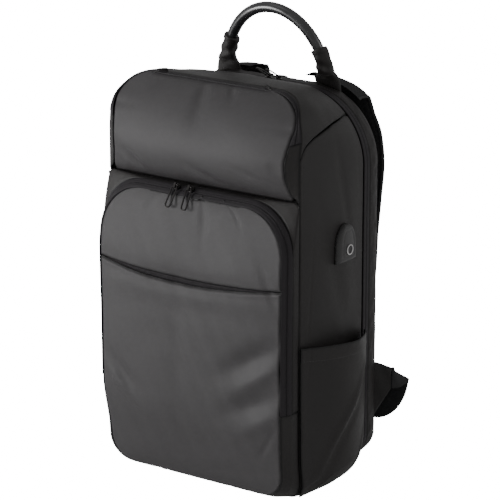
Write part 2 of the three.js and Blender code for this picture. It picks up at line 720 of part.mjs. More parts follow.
// Upper pocket: its face bulges out over the front pocket's crease.
const upperOutline = {
  half: UPPER_WIDTH / 2,
  low: CREASE_HEIGHT,
  high: BODY_RIDGE,
  foot: UPPER_FOOT_RADIUS,
  crown: UPPER_CROWN_RADIUS,
};
const UPPER_STEPS = 4; // from the crease to the yoke
const upperShare = (name, z) => (
  column(upperEdge, 'up', name, (z - CREASE_HEIGHT) / (BODY_RIDGE - CREASE_HEIGHT)));
const upperLengths = outlineLengths(upperOutline);
const upperHalf = along(upperOutline, 0, [
  { to: upperLengths.base, steps: FLAT_STEPS },
  { to: upperLengths.footArc, steps: 1 },
  { to: lengthAtHeight(upperOutline, YOKE_HEIGHT), steps: UPPER_STEPS },
  { to: upperLengths.crownArc, steps: CROWN_STEPS },
  { to: upperLengths.top, steps: FLAT_STEPS },
]).map((place) => seamPoint({ ...place, x: place.x * upperShare('wide', place.z) },
  UPPER_BACK * upperShare('back', place.z) - UPPER_OUT * upperShare('out', place.z), UPPER_TURN));
const upperCore = new THREE.Vector3(0, BODY_DEPTH / 2, (CREASE_HEIGHT + BODY_RIDGE) / 2);
const upperGrid = pushed(faceRows(upperHalf), (v, u) => (
  UPPER_PUFF * bump(v) ** 0.7 * (1 - (u * 2 - 1) ** 4)
  - foldDepth(upperFolds, u * 2 - 1, v) * Math.sqrt(bump(v) * bump(u))), upperCore);
addPiece('upper_panel', wallOf(upperGrid, FRONT_WALL, upperCore), panel);

// Its gussets at the sides, and its zipper from one step above the yoke over the top
const upperFront = upperHalf.slice(FLAT_STEPS + 1);
const upperRise = Array.from({ length: UPPER_STEPS }, (_, k) => {
  const z = THREE.MathUtils.lerp(CREASE_HEIGHT, YOKE_HEIGHT, k / UPPER_STEPS);
  return seamPoint(outlineAt(frontOutline, lengthAtHeight(frontOutline, z)), frontDepth(z), FRONT_TURN);
});
const upperBehind = [...upperRise, ...bodySeam(['top'], 0, 0)];
const zipFoot = UPPER_STEPS + 1;
addPiece('upper_pocket_zipper', wallOf([
  wholeArch(upperFront.slice(zipFoot)), wholeArch(upperBehind.slice(zipFoot)),
], WALL), tape);
addPair('upper_gusset', () => between([
  upperFront.slice(0, zipFoot + 1), upperBehind.slice(0, zipFoot + 1),
], [2]), WALL, shell);

// Finds places on the right side panel by share of depth and by height.
function sideSurface() {
  const grid = sidePanelGrid();
  const at = (v, u) => {
    const i = Math.min(Math.floor(v * (grid.length - 1)), grid.length - 2);
    const j = Math.min(Math.floor(u * (grid[0].length - 1)), grid[0].length - 2);
    const di = v * (grid.length - 1) - i;
    const dj = u * (grid[0].length - 1) - j;
    const near = grid[i][j].point.clone().lerp(grid[i][j + 1].point, dj);
    const far = grid[i + 1][j].point.clone().lerp(grid[i + 1][j + 1].point, dj);
    return near.lerp(far, di);
  };
  const shareAt = (v, z) => {
    let low = 0;
    let high = 1;
    while (high - low > 1e-6) {
      const half = (low + high) / 2;
      if (at(v, half).z < z) low = half;
      else high = half;
    }
    return low;
  };
  const STEP = 0.02;
  const above = (v, u, lift) => {
    const [v0, v1] = [Math.max(v - STEP, 0), Math.min(v + STEP, 1)];
    const [u0, u1] = [Math.max(u - STEP, 0), Math.min(u + STEP, 1)];
    const normal = at(v1, u).sub(at(v0, u)).cross(at(v, u1).sub(at(v, u0))).normalize();
    return at(v, u).addScaledVector(normal, lift);
  };
  return { above, at, shareAt };
}
const side = sideSurface();

// Side pockets: slack cloth over the side panels, open at the top and loosest behind their middle
const POCKET_ROWS = 7;
addPair('side_pocket', () => Array.from({ length: DEPTH_STEPS + 1 }, (_, i) => {
  const v = i / DEPTH_STEPS;
  const mouth = side.shareAt(v, SIDE_POCKET_FRONT - SIDE_POCKET_DROP * v);
  return Array.from({ length: POCKET_ROWS + 1 }, (__, j) => {
    const up = j / POCKET_ROWS;
    const gape = SIDE_POCKET_GAPE * bump(v ** 1.35) * smooth(up, -0.1, 1) ** 0.8;
    return { point: side.above(v, mouth * up, SIDE_POCKET_WALL + 4 * GAP + gape) };
  });
}), SIDE_POCKET_WALL, shell);

// Cover of the charging port: a soft cap with a round top and a flat foot
const PORT_STEPS = 6;
const PORT_STRAIGHT = 0.45; // share of its height with straight sides
const PORT_ROUND = 0.94; // how round its top is, at 1 a full arch
const PORT_RIM = 0.35; // its thickness at the rim, as a share
const portLayer = (lift) => Array.from({ length: PORT_STEPS + 1 }, (_, i) => {
  const t = i / PORT_STEPS;
  const bow = Math.max(0, (t - PORT_STRAIGHT) / (1 - PORT_STRAIGHT));
  const reach = (PORT_WIDTH / 2) * Math.sqrt(1 - PORT_ROUND * bow * bow);
  return Array.from({ length: PORT_STEPS + 1 }, (__, j) => {
    const u = (j / PORT_STEPS) * 2 - 1;
    const v = (PORT_DEPTH + u * reach) / ZIP_DEPTH;
    const point = side.at(v, side.shareAt(v, PORT_FOOT + t * PORT_HEIGHT));
    point.x += lift(t, u);
    return { point };
  });
});
const portRise = (t, u) => (
  PORT_OUT * Math.min(1, PORT_RIM + 2 * bump(t)) * Math.min(1, PORT_RIM + 2 * (1 - u * u)));
addPiece('port_cover', closedLayers(portLayer(portRise), portLayer(() => 2 * GAP)), rubber);

// Round mark on the port cover, a thin raised ring
const ringShape = new THREE.Shape().absarc(0, 0, PORT_RING_RADIUS, 0, 2 * Math.PI);
ringShape.holes.push(new THREE.Path()
  .absarc(0, 0, PORT_RING_RADIUS - PORT_RING_RIM, 0, 2 * Math.PI, true));
const ring = addPiece('port_ring', new THREE.ExtrudeGeometry(ringShape, {
  depth: PORT_RING_THICK, bevelEnabled: false, curveSegments: 10,
}), { ...rubber, color: 0xb8b8b8 });
const ringHeight = PORT_FOOT + PORT_HEIGHT * PORT_RING_UP;
const ringSeat = side.at(PORT_DEPTH / ZIP_DEPTH, side.shareAt(PORT_DEPTH / ZIP_DEPTH, ringHeight));
ring.rotation.set(0, Math.PI / 2, 0);
ring.position.set(ringSeat.x + PORT_OUT + 3 * GAP, PORT_DEPTH, ringHeight);

// Handle: a half ellipse of tube with a cloth sleeve over each end
const handleFoot = BODY_RIDGE - TOP_FALL;
function handlePoint(angle) {
  return new THREE.Vector3(
    (HANDLE_SPAN / 2) * Math.cos(angle),
    HANDLE_BACK - HANDLE_LEAN * Math.sin(angle),
    handleFoot + HANDLE_REACH * Math.sin(angle),
  );
}
class HandleCurve extends THREE.Curve {
  constructor(from, to) {
    super();
    this.from = from;
    this.to = to;
  }

  getPoint(t, target = new THREE.Vector3()) {
    return target.copy(handlePoint(THREE.MathUtils.lerp(this.from, this.to, t)));
  }
}
const sleeveAngle = Math.asin(SLEEVE_REACH / HANDLE_REACH);
const GRIP_START = 0.66; // where the tube starts inside a sleeve, as a share of its angle
const gripAngle = sleeveAngle * GRIP_START;
const gripShape = new THREE.Shape().absarc(0, 0, HANDLE_GRIP / 2, 0, 2 * Math.PI);
addPiece('handle_grip', new THREE.ExtrudeGeometry(gripShape, {
  steps: 24,
  bevelEnabled: false,
  curveSegments: 5,
  extrudePath: new HandleCurve(gripAngle, Math.PI - gripAngle),
}), plastic);

// A sleeve: round at its mouth and pressed flat at its foot, which follows the top of the bag
const SLEEVE_ROWS = 7;
const SLEEVE_PRESSED = 0.55; // share of a sleeve that is pressed flat towards its foot
const SLEEVE_SIDES = 14;
function topHeight(x, y) {
  const o = bodyOutline(y);
  const over = Math.max(0, Math.abs(x) - (o.half - o.crown));
  return o.high - o.crown + Math.sqrt(o.crown ** 2 - over ** 2);
}
const sleeveLayer = (shrink) => Array.from({ length: SLEEVE_ROWS + 1 }, (_, i) => {
  const t = i / SLEEVE_ROWS;
  const angle = sleeveAngle * t;
  const center = handlePoint(angle);
  const run = handlePoint(angle + 0.01).sub(handlePoint(angle - 0.01)).normalize();
  const back = new THREE.Vector3(0, 1, 0);
  const out = back.clone().cross(run).normalize().multiplyScalar(-1);
  const flat = 1 - smooth(t, 0, SLEEVE_PRESSED);
  const wide = THREE.MathUtils.lerp(SLEEVE_TOP, SLEEVE_FOOT, flat) / 2 - shrink;
  const deep = THREE.MathUtils.lerp(SLEEVE_TOP, SLEEVE_DEPTH, flat) / 2 - shrink;
  return Array.from({ length: SLEEVE_SIDES }, (__, j) => {
    const turn = (2 * Math.PI * j) / SLEEVE_SIDES;
    const point = center.clone()
      .addScaledVector(out, wide * Math.cos(turn)).addScaledVector(back, deep * Math.sin(turn));
    if (i === 0) point.z = topHeight(point.x, point.y) + STRIP_PUFF + 2 * GAP;
    return { point };
  });
});
const sleeve = closedLayers(sleeveLayer(0), sleeveLayer(SLEEVE_WALL), true);
addPiece('handle_sleeve_right', sleeve, shell);
const sleeveMirror = sleeve.clone().scale(-1, 1, 1);
sleeveMirror.setIndex(Array.from(sleeveMirror.index.array).reverse());
addPiece('handle_sleeve_left', sleeveMirror, shell);

// Shoulder straps. at: share of the way down, spread: of the spread, stand: of the stand,
// wide: of the width, lean: how much lower the outer edge is, as a share of the width.
const strapRows = [
  { at: -0.018, spread: 0.71, stand: 0.05, wide: 1.03, lean: 0.2 },
  { at: -0.022, spread: 0.7, stand: 0.34, wide: 1.03, lean: 0.18 },
  { at: -0.006, spread: 0.7, stand: 0.66, wide: 1.03, lean: 0.14 },
  { at: 0.03, spread: 0.71, stand: 0.84, wide: 1.02, lean: 0.1 },
  { at: 0.11, spread: 0.77, stand: 0.93, wide: 1.01, lean: 0.03 },
  { at: 0.2, spread: 0.88, stand: 0.95, wide: 1.0, lean: 0.0 },
  { at: 0.3, spread: 0.91, stand: 0.96, wide: 1.0, lean: 0.0 },
  { at: 0.44, spread: 0.88, stand: 0.96, wide: 0.98, lean: 0.0 },
  { at: 0.6, spread: 0.85, stand: 0.95, wide: 0.95, lean: 0.0 },
  { at: 0.76, spread: 0.85, stand: 0.92, wide: 0.88, lean: 0.0 },
  { at: 0.9, spread: 0.89, stand: 0.88, wide: 0.7, lean: 0.0 },
  { at: 1.0, spread: 0.93, stand: 0.85, wide: 0.46, lean: 0.0 },
];
const STRAP_COLUMNS = 6;
const STRAP_CROWN = 1.5;
const strapCore = new THREE.Vector3(STRAP_SPREAD, BODY_DEPTH / 2, (STRAP_TOP + STRAP_FOOT) / 2);
addPair('shoulder_strap', () => strapRows.map((row) => (
  Array.from({ length: STRAP_COLUMNS + 1 }, (_, j) => {
    const u = (j / STRAP_COLUMNS) * 2 - 1;
    const crown = STRAP_CROWN * (1 - u ** 4);
    return {
      point: new THREE.Vector3(
        row.spread * STRAP_SPREAD + (u * row.wide * STRAP_WIDTH) / 2,
        BODY_DEPTH + row.stand * STRAP_STAND + crown * row.stand,
        THREE.MathUtils.lerp(STRAP_TOP, STRAP_FOOT, row.at)
          - u * row.lean * STRAP_WIDTH * 0.5 + crown * (1 - row.stand),
      ),
    };
  }))), (v, u) => THREE.MathUtils.lerp(STRAP_EDGE, STRAP_PAD, bump(u) ** 0.5 * bump(0.06 + v * 0.9) ** 0.5),
mesh, strapCore);

// A flat band along rows that give its middle and the direction across it
function bandOf(rows) {
  const layer = (side) => rows.map(({ point, across }, i) => {
    const before = rows[Math.max(i - 1, 0)].point;
    const after = rows[Math.min(i + 1, rows.length - 1)].point;
    const run = after.clone().sub(before).normalize();
    const square = across.clone().addScaledVector(run, -across.dot(run)).normalize();
    const out = run.cross(square).multiplyScalar((side * WEBBING_THICK) / 2);
    return [-0.5, 0.5].map((share) => ({
      point: point.clone().addScaledVector(square, share * WEBBING_WIDTH).add(out),
    }));
  });
  return [layer(1), layer(-1)];
}

// The same band on both sides
function addBands(name, rows) {
  [['right', 1], ['left', -1]].forEach(([hand, x]) => {
    const flip = new THREE.Vector3(x, 1, 1);
    const turned = rows.map(({ point, across }) => (
      { point: point.clone().multiply(flip), across: across.clone().multiply(flip) }));
    addPiece(`${name}_${hand}`, closedLayers(...bandOf(turned)), web);
  });
}

// Ladder locks below the straps' feet: frames with two slots
const foot = strapRows[strapRows.length - 1];
const lockAt = new THREE.Vector3(foot.spread * STRAP_SPREAD,
  BODY_DEPTH + foot.stand * STRAP_STAND - STRAP_EDGE / 2, STRAP_FOOT - LOCK_DROP);
const [upperSlot, lowerSlot] = LOCK_SLOTS;
const lockTop = LOCK_RAIL / 2 + upperSlot + LOCK_RAIL;
const lockLow = -(LOCK_RAIL / 2 + lowerSlot + LOCK_FOOT_BAR);
const rectangle = (x, low, high) => [[-x, low], [x, low], [x, high], [-x, high]];
const rail = LOCK_WIDTH / 2 - LOCK_RAIL;
const lockShape = new THREE.Shape(rectangle(LOCK_WIDTH / 2, lockLow, lockTop)
  .map(([x, z]) => new THREE.Vector2(x, z)));
[[LOCK_RAIL / 2, LOCK_RAIL / 2 + upperSlot], [-LOCK_RAIL / 2 - lowerSlot, -LOCK_RAIL / 2]]
  .forEach(([low, high]) => {
    const hole = rectangle(rail, low, high).reverse().map(([x, z]) => new THREE.Vector2(x, z));
    lockShape.holes.push(new THREE.Path(hole));
  });
const lockGeometry = new THREE.ExtrudeGeometry(lockShape, { depth: LOCK_THICK, bevelEnabled: false })
  .translate(0, 0, -LOCK_THICK / 2);
[['right', 1], ['left', -1]].forEach(([hand, x]) => {
  const lock = addPiece(`ladder_lock_${hand}`, lockGeometry.clone(), plastic);
  lock.rotation.set(Math.PI / 2, 0, 0);
  lock.position.copy(lockAt).setX(x * lockAt.x);
});

// Short loops that hold the locks: round the top bar and up to the strap's foot
const ACROSS = new THREE.Vector3(-1, 0, 0);
const loopRadius = Math.hypot(LOCK_RAIL, LOCK_THICK) / 2 + GAP + WEBBING_THICK / 2;
const barHeight = lockTop - LOCK_RAIL / 2;
const atLock = (back, up) => new THREE.Vector3(0, back, up).add(lockAt);
const LOOP_STEPS = 8;
const loopRows = Array.from({ length: LOOP_STEPS + 1 }, (_, k) => {
  const turn = Math.PI * (1 + k / LOOP_STEPS);
  return atLock(loopRadius * Math.cos(turn), barHeight + loopRadius * Math.sin(turn));
});
const loopEnd = LOCK_DROP - GAP;
addBands('lock_loop', [
  atLock(-WEBBING_THICK, loopEnd), ...loopRows, atLock(WEBBING_THICK, loopEnd),
].map((point) => ({ point, across: ACROSS })));

// Wings in the rear seams: flaps that hold the lower webbing
const rearOutline = bodyOutline(BODY_DEPTH);
function rootAt(z) {
  const under = Math.max(0, rearOutline.low + rearOutline.foot - z);
  return rearOutline.half - rearOutline.foot + Math.sqrt(rearOutline.foot ** 2 - under ** 2);
}
const wingWay = new THREE.Vector3(Math.cos(radians(WING_TURN)), Math.sin(radians(WING_TURN)), 0);
const wingOut = new THREE.Vector3(-wingWay.y, wingWay.x, 0);
const WING_STEPS = 4;
const wingLayer = (side) => Array.from({ length: WING_STEPS + 1 }, (_, i) => {
  const t = i / WING_STEPS;
  const low = THREE.MathUtils.lerp(WING_LOW, WING_TIP - WEBBING_WIDTH / 2 - GAP, t ** 0.8);
  const high = THREE.MathUtils.lerp(WING_HIGH, WING_TIP + WEBBING_WIDTH / 2 + GAP, t);
  return Array.from({ length: WING_STEPS + 1 }, (__, j) => {
    const z = THREE.MathUtils.lerp(low, high, j / WING_STEPS);
    const root = new THREE.Vector3(rootAt(z), BODY_DEPTH, z);
    return { point: root.addScaledVector(wingWay, 2 * GAP + t * WING_REACH)
      .addScaledVector(wingOut, (side * WING_WALL) / 2) };
  });
});
const wing = closedLayers(wingLayer(1), wingLayer(-1));
addPiece('strap_wing_right', wing, shell);
const wingMirror = wing.clone().scale(-1, 1, 1);
wingMirror.setIndex(Array.from(wingMirror.index.array).reverse());
addPiece('strap_wing_left', wingMirror, shell);

// Webbing from a wing's tip in a slack loop to the lock. x, y, z: its middle, measured from the tip,
// across: the direction of its width.
const wingTip = new THREE.Vector3(rootAt(WING_TIP), BODY_DEPTH, WING_TIP)
  .addScaledVector(wingWay, 4 * GAP + WING_REACH);
const slackRows = [
  { x: 0, y: 0, z: 0, across: [0, 0, -1] },
  { x: 3.2, y: 2.4, z: 0, across: [0, 0, -1] },
  { x: 4.6, y: 6, z: 0.6, across: [0.35, -0.1, -0.93] },
  { x: 4, y: 10, z: 1.4, across: [0.74, 0, -0.67] },
  { x: 2.2, y: 14, z: 1, across: [0.97, 0, -0.24] },
  { x: 0.8, y: 17, z: -2, across: [1, 0, 0] },
  { x: -0.5, y: 17.4, z: -9, across: [1, 0, 0] },
  { x: -3.5, y: 17, z: -20, across: [0.95, 0, -0.3] },
  { x: -9, y: 16, z: -31, across: [0.87, 0, -0.5] },
  { x: -17, y: 14.5, z: -40, across: [0.66, 0, -0.75] },
  { x: -27, y: 12.5, z: -45, across: [0.3, 0, -0.95] },
  { x: -37, y: 11, z: -44, across: [-0.15, 0, -0.99] },
  { x: -45.5, y: 10, z: -37.5, across: [-0.55, 0, -0.83] },
  { x: -51.5, y: 9.4, z: -27.5, across: [-0.83, 0, -0.55] },
  { x: -55.5, y: 9, z: -14.5, across: [-0.97, 0, -0.2] },
].map(({ x, y, z, across }) => (
  { point: new THREE.Vector3(x, y, z).add(wingTip), across: new THREE.Vector3(...across) }));

// Threading: up behind the lock's foot bar, over its middle bar and back in, with a short end
const stand = LOCK_THICK / 2 + WEBBING_THICK / 2 + 2 * GAP;
const upperMiddle = LOCK_RAIL / 2 + upperSlot * 0.4;
const lowerMiddle = -LOCK_RAIL / 2 - lowerSlot / 2;
const tail = stand + WEBBING_THICK + 3 * GAP;
const threadRows = [
  [-stand - 0.4, lockLow - 2],
  [-stand, lockLow + LOCK_FOOT_BAR],
  [-stand * 0.97, lowerMiddle - stand * 0.97],
  [stand * 0.97, lowerMiddle + stand * 0.97],
  [stand, -LOCK_RAIL / 4],
  [stand * 0.97, upperMiddle - stand * 0.97],
  [-stand * 0.97, upperMiddle + stand * 0.97],
  [-stand - 1.3, upperMiddle + stand + 0.6],
  [-tail, upperMiddle + stand - 0.8],
  [-tail - 0.2, LOCK_RAIL],
  [-tail - 0.4, lowerMiddle],
  [-tail - 0.8, lockLow - 6],
].map(([back, up]) => ({ point: atLock(back, up), across: ACROSS }));
addBands('strap_webbing', [...slackRows, ...threadRows]);

// A slider: a plate with a narrow bridge across it, and below the bridge a tunnel for the pull
const tunnelHigh = PULL_WIRE + 2 * PIVOT_PLAY;
const tunnelLong = tunnelHigh + PIVOT_PLAY;
const pivotHeight = SLIDER_THICK + tunnelHigh / 2;
function boxFrom(x, y, z, low) {
  return wasm.Manifold.cube([x, y, z], true).translate([0, 0, low + z / 2]);
}
const bridge = boxFrom(BRIDGE_WIDTH, tunnelLong + 2 * BRIDGE_BAR, tunnelHigh + BRIDGE_BAR, SLIDER_THICK)
  .subtract(boxFrom(BRIDGE_WIDTH * 2, tunnelLong, tunnelHigh, SLIDER_THICK));
const plate = wasm.Manifold.cylinder(SLIDER_THICK, 1, 1, 16)
  .scale([SLIDER_LENGTH / 2, SLIDER_WIDTH / 2, 1]);
const sliderBody = plate.add(bridge.translate([0, 0, -GAP / 10])).getMesh();
const sliderGeometry = new THREE.BufferGeometry();
sliderGeometry.setAttribute('position', new THREE.BufferAttribute(sliderBody.vertProperties, 3));
sliderGeometry.setIndex(new THREE.BufferAttribute(sliderBody.triVerts, 1));
sliderGeometry.computeVertexNormals();

// A pull: a long closed ring of wire. It reaches from the pivot along -Y.
class PullCurve extends THREE.Curve {
  getPoint(t, target = new THREE.Vector3()) {
    const bend = (PULL_WIDTH - PULL_WIRE) / 2;
    const straight = PULL_LENGTH - PULL_WIRE - 2 * bend;
    const arc = Math.PI * bend;
    const s = (t % 1) * 2 * (arc + straight);
    const place = (x, y) => target.set(x, -y, 0);
    if (s < arc) return place(-bend * Math.cos(s / bend), bend * (1 - Math.sin(s / bend)));
    if (s < arc + straight) return place(bend, bend + s - arc);
    if (s < 2 * arc + straight) {
      const turn = (s - arc - straight) / bend;
      return place(bend * Math.cos(turn), bend + straight + bend * Math.sin(turn));
    }
    return place(-bend, bend + straight - (s - 2 * arc - straight));
  }
}
const pullGeometry = new THREE.TubeGeometry(new PullCurve(), 24, PULL_WIRE / 2, 6, true);

// Adds a slider and its pull on a zipper that runs between two edges, front edge first.
function addSlider(front, rear, { name, x, up, tip, lift, swing }) {
  const way = rear.clone().sub(front);
  const out = new THREE.Vector3(0, -way.z, way.y).normalize();
  const clear = GAP + (SLIDER_WIDTH / 2) * Math.sin(radians(tip));
  const seat = front.clone().addScaledVector(way, up).setX(x).addScaledVector(out, clear);
  const pitch = Math.atan2(way.z, way.y) + radians(tip);
  const slider = addPiece(`${name}_slider`, sliderGeometry.clone(), metal);
  slider.rotation.set(pitch, 0, 0);
  slider.position.copy(seat);
  const pull = addPiece(`${name}_pull`, pullGeometry.clone(), metal);
  pull.rotation.set(pitch - radians(lift), 0, radians(-swing));
  pull.position.set(0, 0, pivotHeight).applyEuler(slider.rotation).add(seat);
}

// Two sliders on the front pocket's zipper and two on the main zipper
const middleOf = (seam) => seam[seam.length - 1].point;
const ridgeAt = (y) => new THREE.Vector3(0, y, bodyOutline(y).high);
frontPulls.forEach((row) => addSlider(middleOf(faceSeam), middleOf(middleSeam), row));
topPulls.forEach((row) => addSlider(ridgeAt(ZIP_DEPTH), ridgeAt(ZIP_BACK), row));

backpack.updateMatrixWorld(true);
const box = new THREE.Box3().setFromObject(backpack);
const middle = box.getCenter(new THREE.Vector3());
backpack.position.set(-middle.x, -middle.y, -box.min.z);

export default backpack;
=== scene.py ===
"""Laptop backpack: an add-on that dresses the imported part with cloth, zippers, webbing and pads."""

import math

import bpy
import numpy as np
from bpy.props import FloatProperty, FloatVectorProperty, PointerProperty
from bpy.types import Operator, Panel, PropertyGroup
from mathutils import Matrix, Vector


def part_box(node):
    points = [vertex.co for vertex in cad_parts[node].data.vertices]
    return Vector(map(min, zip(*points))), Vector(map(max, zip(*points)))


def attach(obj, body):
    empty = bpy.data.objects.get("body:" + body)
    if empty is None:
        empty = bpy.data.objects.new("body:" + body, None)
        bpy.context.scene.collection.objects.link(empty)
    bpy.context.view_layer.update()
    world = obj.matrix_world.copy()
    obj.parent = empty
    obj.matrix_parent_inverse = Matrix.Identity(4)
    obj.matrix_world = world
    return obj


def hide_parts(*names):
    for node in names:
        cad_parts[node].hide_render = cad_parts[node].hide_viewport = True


bl_info = {
    "name": "Laptop backpack",
    "version": (1, 0, 0),
    "blender": (4, 5, 0),
    "location": "View3D > Sidebar > Backpack",
    "description": "Builds a laptop backpack's cloth, zippers, straps and handle over its CAD frame",
    "category": "Add Mesh",
}

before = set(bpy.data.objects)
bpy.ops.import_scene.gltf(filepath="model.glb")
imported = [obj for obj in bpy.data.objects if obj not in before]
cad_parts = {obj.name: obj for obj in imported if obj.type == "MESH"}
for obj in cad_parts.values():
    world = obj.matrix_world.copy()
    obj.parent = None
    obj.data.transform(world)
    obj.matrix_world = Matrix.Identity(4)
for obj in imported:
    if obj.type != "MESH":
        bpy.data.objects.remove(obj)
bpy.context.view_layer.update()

# Sizes of the bag in millimetres, laid out from the front side seam at y = 0
FRONT_WALL = 2.4
BODY_WIDTH, BODY_DEPTH, BODY_RIDGE = 270, 152, 461
REAR_RISE, TOP_FALL = 17, 20
FOOT_RADIUS, CROWN_RADIUS = 52, 80
FRONT_LEAN, YOKE_HEIGHT = 29, 392
ZIP_DEPTH, ZIP_WIDTH = 119, 12
ZIP_BACK = ZIP_DEPTH + ZIP_WIDTH
CREASE_HEIGHT = 347
POCKET_WIDTH, POCKET_FOOT, POCKET_OUT = 247, 7, 27
POCKET_FOOT_RADIUS, POCKET_CROWN_RADIUS = 28, 52
POCKET_ZIP_WIDTH, POCKET_ZIP_LEAN = 14.5, math.radians(65)
POCKET_TOP_DROP, POCKET_ZIP_END = 10, 110
SLIT_HEIGHT, SLIT_SAG, SLIT_MOUTH, SLIT_REACH, SLIT_TAPE = 252, 7, 5, 60, 20
UPPER_WIDTH, UPPER_OUT, UPPER_BACK, UPPER_FOOT_RADIUS, UPPER_CROWN_RADIUS = 250, 11, 19, 6, 42
SIDE_POCKET_FRONT, SIDE_POCKET_DROP, SIDE_POCKET_GAPE = 183, 8, 17
PORT_WIDTH, PORT_HEIGHT, PORT_OUT, PORT_DEPTH, PORT_FOOT = 35, 43, 7, 74, 266
HANDLE_SPAN, HANDLE_REACH, HANDLE_GRIP, HANDLE_BACK, HANDLE_LEAN = 137, 83, 12.6, 146, 14
SLEEVE_TOP, SLEEVE_FOOT, SLEEVE_DEPTH, SLEEVE_REACH = 18, 34, 9, 42
STRAP_WIDTH, STRAP_PAD, STRAP_EDGE, STRAP_SPREAD, STRAP_STAND = 66, 9, 4, 97, 30
STRAP_TOP, STRAP_FOOT = 441, 140
WEBBING_WIDTH, WEBBING_THICK = 25, 1.6
LOCK_RAIL, LOCK_FOOT_BAR, LOCK_THICK, LOCK_DROP = 3.2, 3.6, 4, 20
UPPER_SLOT, LOWER_SLOT = 11.7, 8.7
WING_REACH, WING_TURN = 17, math.radians(37)
WING_LOW, WING_HIGH, WING_TIP, WING_WALL = 58, 126, 106, 3
GAP = 0.3
FACE_PUFF, UPPER_PUFF, SIDE_PUFF, TOP_PUFF, STRIP_PUFF = 6, 9, 5, 2.5, 1.6
BACK_PUFF, BACK_CHANNEL, CHANNEL_EDGES, BACK_SEAM_AT = 5, 3, (6.5, 26), 28
POCKET_STAND, POCKET_HEM = 3.2, 0.7
PORT_STRAIGHT, PORT_ROUND, PORT_EDGE = 0.45, 0.97, 4.5
BINDING_HALF, STRAP_RIM, STRAP_CHANNEL_AT = (2.6, 2.1), 1.6, 0.72
SLIT_LIP, WING_ROOT, CROWN_STAND = 2.2, 3.5, 6
SLIT_ALONG = 0.92  # share of the slit that its tape reaches
SMOOTHING = 220  # rounds of averaging up the upper pocket's face
FLAP = 0.8  # share of the zipper that the upper pocket's face laps over
PANEL_ROLL, FACE_ROLL = 1.9, 2.3  # how deep a panel's borders roll in
FACE_CLOTH, STRIP_SEAM, HEM_SEAM = 2.2, 0.16, 0.94
CAMERA_TURN, CAMERA_RISE = math.radians(35.36), math.radians(16.74)
CAMERA_TARGET, CAMERA_DISTANCE = (21.5, 60, 261.8), 3.2007
FOCAL_PIXELS, FRAME_PIXELS, SENSOR = 2855, 500, 36
FLOOR_SIZE, FLOOR_GLOW, SKY = 14, 16.0, 0.36

# Where the layout's front seam lies in the frame: the port's ring sits at a known depth
RING_LOW, RING_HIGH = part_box("port_ring")
SHIFT = np.array([0, 500 * (RING_LOW.y + RING_HIGH.y) - PORT_DEPTH, 0])


def rows(names, *values):
    """A table: one array for each column name."""
    return {name: np.array(column, float) for name, column in zip(names.split(), zip(*values))}


BODY = rows(
    "at wide rise fall foot crown",
    (0.0, 0.962, 0.1, 0.15, 0.46, 0.6),
    (0.06, 0.97, 0.0, 0.08, 0.47, 0.6),
    (0.19, 0.982, 0.0, 0.0, 0.5, 0.64),
    (0.4, 0.994, 0.0, 0.15, 0.6, 0.77),
    (0.64, 1.0, 0.0, 0.52, 0.75, 0.92),
    (0.785, 0.998, 0.0, 0.88, 0.94, 1.0),
    (0.86, 0.992, 0.45, 0.96, 0.75, 1.0),
    (1.0, 0.974, 1.0, 1.0, 0.5, 1.0),
)
FRONT_SEAM = rows(
    "up back",
    (0.0, 0.36), (0.05, 0.16), (0.13, 0.04), (0.3, 0.0), (0.85, 0.0), (0.9, 0.1),
    (0.925, 0.2), (0.95, 0.55), (0.975, 0.88), (1.0, 1.0),
)
YOKE = rows(
    "at up",
    (0.0, 0.0), (0.05, 0.16), (0.11, 0.25), (0.21, 0.33), (0.39, 0.4), (0.62, 0.44),
    (0.82, 0.44), (1.0, 0.4),
)
POCKET_EDGE = rows(
    "up out wide",
    (0.0, 0.42, 0.95), (0.06, 0.58, 0.96), (0.15, 0.72, 0.97), (0.32, 0.98, 1.0),
    (0.5, 1.0, 1.0), (0.78, 1.0, 1.01), (0.9, 0.86, 1.0), (1.0, 0.7, 1.0),
)
UPPER_EDGE = rows(
    "up out back wide",
    (0.0, 0.0, 0.1, 0.995), (0.1, 0.45, 0, 0.965), (0.28, 0.92, 0, 0.935), (0.38, 1.0, 0, 0.935),
    (0.5, 0.72, 0, 0.95), (0.61, 0.36, 0, 0.965), (0.71, 0.0, 0.1, 0.985),
    (0.84, 0.0, 0.52, 1.0), (0.93, 0.0, 0.8, 1.0), (1.0, 0.0, 1.0, 1.0),
)
STRAP = rows(
    "at spread stand wide lean",
    (-0.018, 0.71, 0.05, 1.03, 0.2), (-0.022, 0.7, 0.34, 1.03, 0.18),
    (-0.006, 0.7, 0.66, 1.03, 0.14), (0.03, 0.71, 0.84, 1.02, 0.1),
    (0.11, 0.77, 0.93, 1.01, 0.03), (0.2, 0.88, 0.95, 1.0, 0.0), (0.3, 0.91, 0.96, 1.0, 0.0),
    (0.44, 0.88, 0.96, 0.98, 0.0), (0.6, 0.85, 0.95, 0.95, 0.0), (0.76, 0.85, 0.92, 0.88, 0.0),
    (0.9, 0.89, 0.88, 0.7, 0.0), (1.0, 0.93, 0.85, 0.46, 0.0),
)

